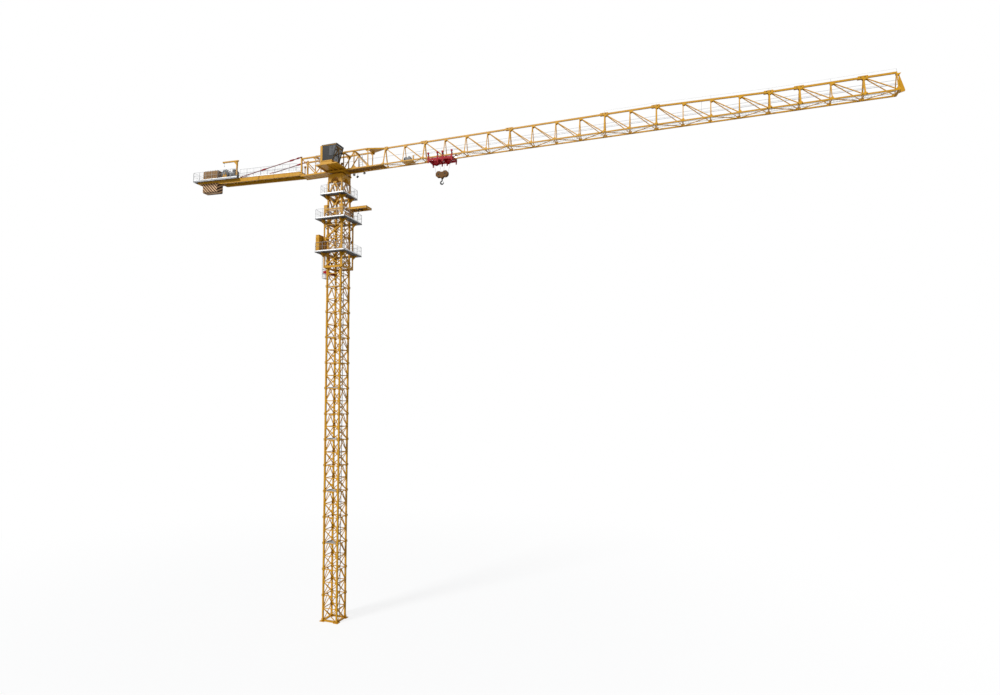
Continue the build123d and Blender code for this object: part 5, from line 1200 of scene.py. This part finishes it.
class CRANE_OT_winch(bpy.types.Operator):
    """Rope on the drum, hubs, motor fins, bolts, the drum's guard and the control cabinet"""

    bl_idname = "crane.winch"
    bl_label = "Hoist winch"

    def execute(self, context):
        self.rope()
        self.ironwork()
        self.bolts()
        self.guard()
        self.cabinet()
        return {"FINISHED"}

    def rope(self):
        """Turns of the hoist rope side by side on its drum."""
        rope = Steel(TAIL)
        place = aim(WINCH_AXLE, ACROSS)
        side = TAIL.inverted().to_3x3() @ Vector(ACROSS)
        for height in spread(30, 0.5):
            turn = [place @ Vector((0.2215 * math.cos(a), 0.2215 * math.sin(a), height + 0.016 * a / math.tau))
                    for a in turns(32)]
            rope.tube(turn, 0.0075, 6, loop=True, side=side)
        rope.piece("drum_rope", "upper", "wire_rope")

    def ironwork(self):
        """Hubs and ribs of the drum, and the motor with its fins, end cover and terminal box."""
        iron = Steel(TAIL)
        for side in BOTH:
            hub = aim(WINCH_AXLE + Vector((0, side * 0.30, 0)), (0, side, 0))
            iron.lathe(((0.075, 0.0), (0.075, 0.03), (0.06, 0.045), (0.03, 0.05)), hub, 24)
            for middle in round_axle(WINCH_AXLE, 0.055, turns(8), side * 0.332):
                iron.bolt(middle, (0, side, 0), 0.008)
            for a in turns(8):
                rib = Matrix.Translation(WINCH_AXLE + Vector((0, side * 0.268, 0))) @ Matrix.Rotation(a, 4, "Y")
                iron.block((0.09, -0.018, -0.006), (0.245, 0.018, 0.006), rib)
            foot = side * 0.345
            iron.block((5.62, foot - 0.006, 0.114), (6.06, foot + 0.006, 0.13))
        fin = ((0.146, -0.004), (0.162, -0.004), (0.162, 0.004), (0.146, 0.004))
        for k in range(15):
            y = -0.16 + 0.32 * k / 14
            iron.lathe(fin, aim(MOTOR_AXLE + Vector((0, y, 0)), ACROSS), 28, loop=True)
        cover = ((0.1, 0.0), (0.12, 0.004), (0.12, 0.05), (0.09, 0.07), (0.03, 0.072))
        iron.lathe(cover, aim(MOTOR_AXLE + Vector((0, 0.248, 0)), ACROSS), 24)
        iron.block((5.32, -0.05, 0.45), (5.42, 0.05, 0.50))
        iron.piece("winch_ironwork", "upper", "grey_paint")

    def bolts(self):
        """Bolts of the motor's gearbox, and those that hold the winch down."""
        bolts = Steel(TAIL)
        for x in (-0.12, 0.12):
            for level in (0.19, 0.41, 0.62):
                bolts.bolt((MOTOR_AXLE.x + x, -0.292, level), (0, -1, 0), 0.012)
        for x in (5.25, 5.60, 6.06):
            for y in (-0.36, 0.36):
                bolts.bolt((x, y, 0.115), UP, 0.014, 0.02)
        bolts.piece("winch_bolts", "upper", "dark_steel")

    def guard(self):
        """A cage of bent bars over the drum, on four legs."""
        guard = Steel(TAIL)
        radius, start, sweep = 0.29, 0.35, 1.9
        for y in (-0.26, -0.13, 0.0, 0.13, 0.26):
            guard.tube(round_axle(WINCH_AXLE, radius, turns(15, start, sweep, False), y), 0.007, 6)
        for middle in round_axle(WINCH_AXLE, radius, turns(4, start, sweep, False)):
            guard.rod(middle + Vector((0, -0.3, 0)), middle + Vector((0, 0.3, 0)), 0.008, 6)
        for y in (-0.3, 0.3):
            front, back = round_axle(WINCH_AXLE, radius, (start, start + sweep), y)
            guard.bar(front, (front.x + 0.02, y, 0.22), 0.01, 0.02)
            guard.bar(back, (back.x - 0.02, y, 0.22), 0.01, 0.02)
        guard.piece("drum_guard", "upper", "grey_paint")

    def cabinet(self):
        """The control cabinet with its lid and door."""
        cabinet = Steel(TAIL)
        cabinet.block((4.95, 0.16, 0.024), (5.13, 0.42, 0.56))
        cabinet.block((4.942, 0.15, 0.56), (5.138, 0.43, 0.578))
        cabinet.block((4.944, 0.17, 0.05), (4.95, 0.41, 0.54))
        cabinet.piece("winch_cabinet", "upper", "grey_paint", bevel=0.004)


class CRANE_OT_cab(bpy.types.Operator):
    """Frames, door, wiper, deck rails, roof and back fittings of the cab"""

    bl_idname = "crane.cab"
    bl_label = "Cab"

    def execute(self, context):
        self.frames_and_door()
        self.deck_rails()
        self.fittings()
        return {"FINISHED"}

    def frames_and_door(self):
        """Painted edge frames, dark window bars, the sloping front with its wiper, and the door."""
        frames, trim, door = Steel(), Steel(), Steel()
        low, high, sill, lintel = 26.6, 27.55, 26.915, 27.495
        back, post, front_low, front_high = -0.365, 0.085, 0.325, 0.625
        near, far = -1.32, -0.62
        front = Vector((front_high - front_low, 0, high - low))
        for wall, side in ((near - 0.01, -1), (far + 0.01, 1)):
            outer, glass, mullion = wall + side * 0.007, wall + side * 0.004, wall + side * 0.005
            frames.bar((back, outer, low + 0.03), (front_low, outer, low + 0.03), 0.014, 0.06)
            frames.bar((back, outer, high - 0.012), (front_high, outer, high - 0.012), 0.014, 0.024)
            corner = (front_low + 0.012, outer, low + 0.01), (front_high - 0.008, outer, high - 0.01)
            trim.bar(*corner, 0.014, 0.022)
            trim.bar((post, glass, low + 0.02), (post, glass, high - 0.02), 0.008, 0.05)
            trim.bar((post, glass, sill), (0.44, glass, sill), 0.008, 0.024)
            trim.bar((post, glass, lintel), (0.61, glass, lintel), 0.008, 0.024)
            trim.bar((0.32, mullion, sill + 0.005), (0.32, mullion, lintel - 0.005), 0.008, 0.02)
        for y in (near - 0.005, far + 0.005):
            trim.bar((front_low + 0.008, y, low + 0.01), (front_high + 0.008, y, high - 0.01), 0.03, 0.016)
        for share in (0.02, 0.38, 0.98):
            middle = Vector((front_low + 0.008, 0, low)) + front * share
            trim.bar((middle.x, near, middle.z), (middle.x, far, middle.z), 0.03, 0.016, front)
        arm = Vector((front_low + 0.022, 0, low)) + front * 0.44
        trim.rod((arm.x, -0.97, arm.z), (arm.x + 0.12, -1.10, arm.z + 0.34), 0.006, 6)
        trim.bar((arm.x + 0.05, -1.16, arm.z + 0.14), (arm.x + 0.155, -1.16, arm.z + 0.46), 0.012, 0.012)
        frames.bar((front_low + 0.012, near, low + 0.03), (front_low + 0.012, far, low + 0.03), 0.03, 0.06)
        frames.bar((back + 0.02, near - 0.017, low), (back + 0.02, near - 0.017, high), 0.014, 0.05)
        frames.piece("cab_edge_frames", "upper", "yellow_paint", bevel=0.002)
        door_back, door_front = -0.33, 0.05
        door.block((door_back, -0.61, low + 0.03), (door_front, -0.602, high - 0.04))
        door.piece("cab_door", "upper", "cab_panels", bevel=0.002)
        left, right, bottom, top = door_back + 0.03, door_front - 0.03, low + 0.42, high - 0.1
        for x in (left, right):
            trim.bar((x, -0.598, bottom), (x, -0.598, top), 0.008, 0.02)
        for level in (bottom, top):
            trim.bar((left, -0.598, level), (right, -0.598, level), 0.008, 0.02)
        trim.tube([(0.0, -0.601, 26.86), (0.0, -0.58, 26.87), (0.0, -0.58, 26.98), (0.0, -0.601, 26.99)], 0.006, 6)
        trim.piece("cab_trim", "upper", "dark_steel")

    def deck_rails(self):
        """Posts, rails and toe boards round the cab's deck."""
        rails = Steel()
        near, far, back, front, foot, top = -1.32, -0.62, -0.79, -0.49, 26.49, 27.03
        for x, y in ((back, near), (back, -0.97), (back, far), (front, near)):
            rails.rod((x, y, foot), (x, y, top), 0.01, 8)
        for level in (26.76, top):
            rails.tube([(front, near, level), (back, near, level), (back, far, level)], 0.009, 8)
        rails.block((back - 0.006, near - 0.006, foot), (back + 0.006, far, foot + 0.07))
        rails.block((back, near - 0.006, foot), (front + 0.01, near + 0.002, foot + 0.07))
        rails.piece("cab_deck_rails", "upper", "galvanised")

    def fittings(self):
        """The hatch and cooler on the roof, and the panels and vent at the back."""
        roof, panels = Steel(), Steel()
        roof.block((-0.25, -1.2, 27.58), (0.05, -0.9, 27.6))
        roof.block((-0.22, -1.17, 27.6), (0.02, -0.93, 27.612))
        roof.block((0.2, -1.15, 27.58), (0.44, -0.83, 27.645))
        for k in range(8):
            x = 0.225 + 0.026 * k
            roof.block((x, -1.156, 27.595), (x + 0.01, -0.824, 27.638))
        roof.piece("cab_roof_fittings", "upper", "cab_panels", bevel=0.003)
        panels.block((-0.483, -1.25, 26.62), (-0.475, -1.0, 26.95))
        for k in range(9):
            level = 26.65 + 0.032 * k
            panels.block((-0.49, -1.23, level), (-0.48, -1.02, level + 0.015))
        panels.block((-0.481, -0.93, 26.55), (-0.475, -0.66, 27.46))
        panels.piece("cab_back_panels", "upper", "yellow_paint", bevel=0.002)


class CRANE_OT_trolley(bpy.types.Operator):
    """Wheel treads, axle caps, stiffeners, sheave guards and buffers of the trolley"""

    bl_idname = "crane.trolley"
    bl_label = "Trolley"

    def execute(self, context):
        wheels, caps, guards = Steel(), Steel(), Steel()
        tread = ((0.03, 0.030), (0.05, 0.031), (0.0595, 0.026), (0.0595, 0.004), (0.056, 0.001), (0.02, 0.001))
        cap = ((0.042, 0.0), (0.042, 0.006), (0.034, 0.012), (0.014, 0.013))
        cover = ((0.03, -0.034), (0.058, -0.03), (0.062, -0.02), (0.062, 0.012), (0.056, 0.02), (0.03, 0.024))
        for from_middle in (-0.7, -0.15, 0.15, 0.7):
            for side in BOTH:
                axle = Vector((TROLLEY_X + from_middle, side * 0.346, 26.4803))
                outer = axle + Vector((0, side * 0.02, 0))
                wheels.lathe(tread, aim(axle, (0, -side, 0)), 28)
                caps.lathe(cap, aim(outer, (0, side, 0)), 20)
                guards.lathe(cover, aim(outer + Vector((0, 0, 0.115)), (0, side, 0)), 20)
                guards.block((axle.x - 0.034, axle.y, 26.05), (axle.x + 0.034, axle.y + side * 0.03, 26.34))
        wheels.piece("wheel_treads", "trolley", "bare_steel")
        caps.piece("axle_caps", "trolley", "dark_steel")
        low, high = 26.19, 26.322
        for side in BOTH:
            y = side * 0.356
            for level in (high, low - 0.012):
                guards.block((5.90, y - 0.014, level), (7.40, y + 0.014, level + 0.012))
            for k in range(6):
                x = 6.0 + 0.26 * k
                guards.block((x - 0.004, y, low), (x + 0.004, y + side * 0.012, high))
        lower_half = circle(0.185, turns(13, math.pi, math.pi, False))
        for end in BOTH:
            x = TROLLEY_X + end * TROLLEY_SHEAVE[0]
            for y in (-0.055, 0.055):
                guards.prism(lower_half, -0.004, 0.004, aim((x, y, TROLLEY_AXLE), (0, -1, 0)))
            guards.rod((x, -0.06, 26.005), (x, 0.06, 26.005), 0.008, 8)
        guards.piece("trolley_stiffeners", "trolley", "red_paint", bevel=0.0015)
        buffers = Steel()
        for end in BOTH:
            for y in (-0.2, 0.2):
                place = aim((TROLLEY_X + end * 0.728, y, 26.27), (end, 0, 0))
                buffers.lathe(((0.03, 0.0), (0.034, 0.01), (0.03, 0.022), (0.018, 0.026)), place, 16)
        buffers.piece("trolley_buffers", "trolley", "dark_steel")
        return {"FINISHED"}


class CRANE_OT_hook(bpy.types.Operator):
    """Cheek plates, rims, bolts and sheave rims of the hook block, and the forged hook"""

    bl_idname = "crane.hook"
    bl_label = "Hook"

    def execute(self, context):
        self.block()
        self.forging()
        return {"FINISHED"}

    def block(self):
        """Eight-sided cheeks with rims, joined by one plate on each side, and the rims of the sheaves."""
        cheeks, bolts, sheaves = Steel(), Steel(), Steel()
        rim = ((0.165, -0.02), (0.172, -0.014), (0.172, 0.004), (0.150, 0.006), (0.146, -0.002))
        cap = ((0.045, 0.0), (0.045, 0.008), (0.03, 0.016), (0.012, 0.018))
        groove = ((0.128, -0.022), (0.146, -0.022), (0.146, -0.016), (0.139, -0.007),
                  (0.139, 0.007), (0.146, 0.016), (0.146, 0.022), (0.128, 0.022))
        outline = [
            (-0.33, -0.07), (-0.27, -0.135), (-0.09, -0.15), (-0.05, -0.225), (0.05, -0.225), (0.09, -0.15),
            (0.27, -0.135), (0.33, -0.07), (0.33, 0.07), (0.28, 0.14), (0.08, 0.14), (0.05, 0.12),
            (-0.05, 0.12), (-0.08, 0.14), (-0.28, 0.14), (-0.33, 0.07),
        ]
        half_corner = math.pi / 8
        for end in BOTH:
            middle = Vector((TROLLEY_X + end * BLOCK_SHEAVE[0], 0, BLOCK_AXLE))
            for side in BOTH:
                face = aim(middle + Vector((0, side * 0.08, 0)), (0, side, 0))
                cheeks.lathe(rim, face @ Matrix.Rotation(half_corner, 4, "Z"), 8, smooth=False, loop=True)
                bolts.lathe(cap, face, 20)
                for x, y in circle(0.115, turns(8, half_corner)):
                    bolts.bolt(face @ Vector((x, y, 0)), (0, side, 0), 0.009)
            sheaves.lathe(groove, aim(middle, ACROSS), 36, loop=True)
        for side in BOTH:
            face = aim((TROLLEY_X, side * 0.078, BLOCK_AXLE), (0, side, 0))
            cheeks.prism([(x, upward(face) * y) for x, y in outline], 0.0, 0.008, face)
        cheeks.piece("block_rims", "block", "yellow_paint", finish="block_paint")
        bolts.piece("block_bolts", "block", "dark_steel")
        sheaves.piece("block_sheave_rims", "block", "dark_steel")

    def forging(self):
        """The hook: a round shank with its nut, a bowl that is thickest at its back, and a safety latch."""
        forged = Steel()
        shank = [(0.0, 25.2297), (0.0, 25.15), (-0.002, 25.10), (-0.022, 25.078)]
        shank_radii = (0.033, 0.033, 0.034, 0.036)
        bowl_radii = (0.036, 0.037, 0.038, 0.040, 0.0415, 0.042, 0.042, 0.042, 0.041, 0.038, 0.034, 0.029,
                      0.024, 0.019, 0.013)
        bowl_z, last = 24.9927, len(bowl_radii) - 1
        path = [(TROLLEY_X + x, 0, z) for x, z in shank]
        for k, a in enumerate(turns(last + 1, math.radians(122), math.radians(245), False)):
            radius = 0.089 + 0.004 * math.sin(math.pi * k / last)
            path.append((TROLLEY_X + radius * math.cos(a), 0, bowl_z + radius * math.sin(a)))
        forged.tube(path, shank_radii + bowl_radii, 14, squash=0.72)
        nut = ((0.034, 0.0), (0.048, 0.004), (0.048, 0.018), (0.036, 0.022), (0.036, 0.03), (0.042, 0.032),
               (0.042, 0.05), (0.024, 0.052))
        forged.lathe(nut, Matrix.Translation((TROLLEY_X, 0, 25.177)), 24)
        latch = [(0.02, 25.10), (0.045, 25.06), (0.07, 25.018)]
        forged.tube([(TROLLEY_X + x, 0, z) for x, z in latch], [0.008, 0.007, 0.006], 8, squash=1.6)
        hook = forged.piece("forged_hook", "hook", "dark_steel")
        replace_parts(hook, "load_hook")


class CRANE_OT_davit(bpy.types.Operator):
    """Collar, cap, end sheave, rope and hook of the davit"""

    bl_idname = "crane.davit"
    bl_label = "Davit"

    def execute(self, context):
        iron = Steel(TAIL)
        collar = ((0.062, 0.126), (0.062, 0.15), (0.054, 0.156))
        iron.lathe(collar, Matrix.Translation((4.74, 0.47, 0.0)), 20)
        iron.block((4.70, 0.425, 0.99), (4.78, 0.515, 1.022))
        tip = Vector((5.79, 0.47, 1.03))
        iron.lathe(((0.045, -0.012), (0.033, -0.005), (0.033, 0.005), (0.045, 0.012)), aim(tip, ACROSS), 20)
        iron.pin(tip, ACROSS, 0.01, 0.09)
        iron.rod(tip + Vector((-0.036, 0, 0)), tip + Vector((-0.036, 0, -0.16)), 0.004, 6)
        hook = [(-0.036, -0.16), (-0.036, -0.2), (-0.05, -0.225), (-0.036, -0.25), (-0.014, -0.245), (-0.008, -0.225)]
        iron.tube([tip + Vector((x, 0, z)) for x, z in hook], [0.008, 0.01, 0.011, 0.011, 0.009, 0.005], 8)
        iron.piece("davit_fittings", "davit_arm", "dark_steel")
        return {"FINISHED"}


class CRANE_OT_lamps(bpy.types.Operator):
    """Three floodlights under the head"""

    bl_idname = "crane.lamps"
    bl_label = "Lamps"

    def execute(self, context):
        housings, faces = Steel(), Steel()
        housing = ((0.028, -0.05), (0.045, -0.045), (0.07, 0.0), (0.075, 0.03), (0.07, 0.034))
        bracket = ((0.085, 0.0), (0.085, -0.06), (-0.085, -0.06), (-0.085, 0.0))
        for middle, away in (
            ((1.13, -0.2, 26.06), (0.35, -0.6, -0.7)),
            ((1.13, 0.2, 26.06), (0.35, 0.6, -0.7)),
            ((1.7, 0.0, 26.15), (0.6, 0.0, -0.8)),
        ):
            place = aim(middle, away)
            housings.lathe(housing, place, 20)
            faces.lathe(((0.066, 0.0335), (0.066, 0.0375), (0.05, 0.041)), place, 20)
            housings.tube([place @ Vector((x, 0, z)) for x, z in bracket], 0.005, 6)
        for y in (-0.2, 0.2):
            housings.rod((1.11, y, 26.12), (1.11, y * 1.4, 26.37), 0.008, 8)
        housings.rod((1.67, 0.0, 26.2), (1.67, 0.0, 26.43), 0.01, 8)
        housings.piece("floodlights", "upper", "dark_steel")
        faces.piece("floodlight_glasses", "upper", "dark_glass")
        return {"FINISHED"}


class CRANE_OT_stage(bpy.types.Operator):
    """Set the camera, the light and a plain pale floor"""

    bl_idname = "crane.stage"
    bl_label = "Stage"

    def execute(self, context):
        scene = context.scene
        self.camera(scene, scene.crane_stage)
        self.key_light(scene, scene.crane_stage.sun)
        self.world(scene, scene.crane_stage.sky)
        self.floor(scene)
        scene.view_settings.view_transform = "Standard"
        return {"FINISHED"}

    def camera(self, scene, stage):
        """The photograph's view of the crane."""
        lens = bpy.data.cameras.new("camera")
        lens.sensor_fit = "HORIZONTAL"
        lens.sensor_width = 36.0
        lens.lens = stage.lens
        lens.shift_x = stage.shift_x
        lens.shift_y = stage.shift_y
        lens.clip_end = 500.0
        camera = bpy.data.objects.new("camera", lens)
        turn = Matrix.Rotation(stage.yaw, 4, "Z") @ Matrix.Rotation(math.pi / 2 + stage.pitch, 4, "X")
        camera.matrix_world = Matrix.Translation(stage.place) @ turn @ Matrix.Rotation(stage.roll, 4, "Z")
        scene.collection.objects.link(camera)
        scene.camera = camera

    def key_light(self, scene, strength):
        """A soft sun from the left of the camera and above."""
        sun = bpy.data.lights.new("key_light", "SUN")
        sun.energy = strength
        sun.angle = math.radians(14.0)
        lamp = bpy.data.objects.new("key_light", sun)
        lamp.rotation_euler = Vector((0.42, 0.85, -0.62)).to_track_quat("-Z", "Y").to_euler()
        scene.collection.objects.link(lamp)

    def world(self, scene, strength):
        """White where the background shows, and a soft even light elsewhere."""
        world = bpy.data.worlds.new("studio")
        world.use_nodes = True
        sheet = Sheet(world.node_tree)
        light = world.node_tree.nodes["Background"]
        sheet.link((0.93, 0.96, 1.0), light.inputs["Color"])
        sheet.link(strength, light.inputs["Strength"])
        white = sheet.node("ShaderNodeBackground", {}, {"Color": (1.0, 1.0, 1.0)})
        sheet.mixed(sheet.background_share(), Wire(sheet, light.outputs[0]), white, "World Output")
        scene.world = world

    def floor(self, scene):
        """A wide plain floor that keeps the crane's shadow and fades into the white far away."""
        half = 220.0
        fade_from, fade_to, least = 8.0, 40.0, 0.8
        mesh = bpy.data.meshes.new("floor")
        corners = [(-half, -half, 0), (half, -half, 0), (half, half, 0), (-half, half, 0)]
        mesh.from_pydata(corners, [], [(0, 1, 2, 3)])
        floor = bpy.data.objects.new("floor", mesh)
        scene.collection.objects.link(floor)
        finish = Finish("floor", Roughness=0.9)
        seen = finish.background_share()
        away = finish.node("ShaderNodeVectorMath", {"operation": "LENGTH"}, {0: finish.place}, "Value")
        finish.set(Base_Color=finish.blend(seen, tuple(scene.crane_colours.floor), (0.96, 0.96, 0.96)))
        glow = finish.node("ShaderNodeEmission", {}, {})
        share = seen * (least + (1.0 - least) * away.ramp(fade_from, fade_to))
        finish.mixed(share, Wire(finish, finish.shader.outputs[0]), glow, "Material Output")
        mesh.materials.append(finish.material)


class CRANE_PT_looks(bpy.types.Panel):
    """Lists the crane's pieces and its colours"""

    bl_label = "Tower crane"
    bl_idname = "CRANE_PT_looks"
    bl_space_type = "VIEW_3D"
    bl_region_type = "UI"
    bl_category = "Crane"

    def draw(self, context):
        for operator in OPERATORS:
            self.layout.operator(operator.bl_idname)
        for name in CraneColours.__annotations__:
            self.layout.prop(context.scene.crane_colours, name)
        for name in CraneStage.__annotations__:
            self.layout.prop(context.scene.crane_stage, name)


OPERATORS = (
    CRANE_OT_finishes, CRANE_OT_mast, CRANE_OT_railings, CRANE_OT_climbing_frame, CRANE_OT_slewing, CRANE_OT_head,
    CRANE_OT_jib, CRANE_OT_ropes, CRANE_OT_counter_jib, CRANE_OT_ballast, CRANE_OT_tie_rods, CRANE_OT_winch,
    CRANE_OT_cab, CRANE_OT_trolley, CRANE_OT_hook, CRANE_OT_davit, CRANE_OT_lamps, CRANE_OT_stage,
)
CLASSES = (CraneColours, CraneStage, *OPERATORS, CRANE_PT_looks)


def register():
    for cls in CLASSES:
        bpy.utils.register_class(cls)
    bpy.types.Scene.crane_colours = PointerProperty(type=CraneColours)
    bpy.types.Scene.crane_stage = PointerProperty(type=CraneStage)


def unregister():
    del bpy.types.Scene.crane_stage
    del bpy.types.Scene.crane_colours
    for cls in reversed(CLASSES):
        bpy.utils.unregister_class(cls)


def main():
    """Dress the crane."""
    register()
    for operator in OPERATORS:
        group, name = operator.bl_idname.split(".")
        getattr(getattr(bpy.ops, group), name)()


if __name__ == "__main__":
    main()
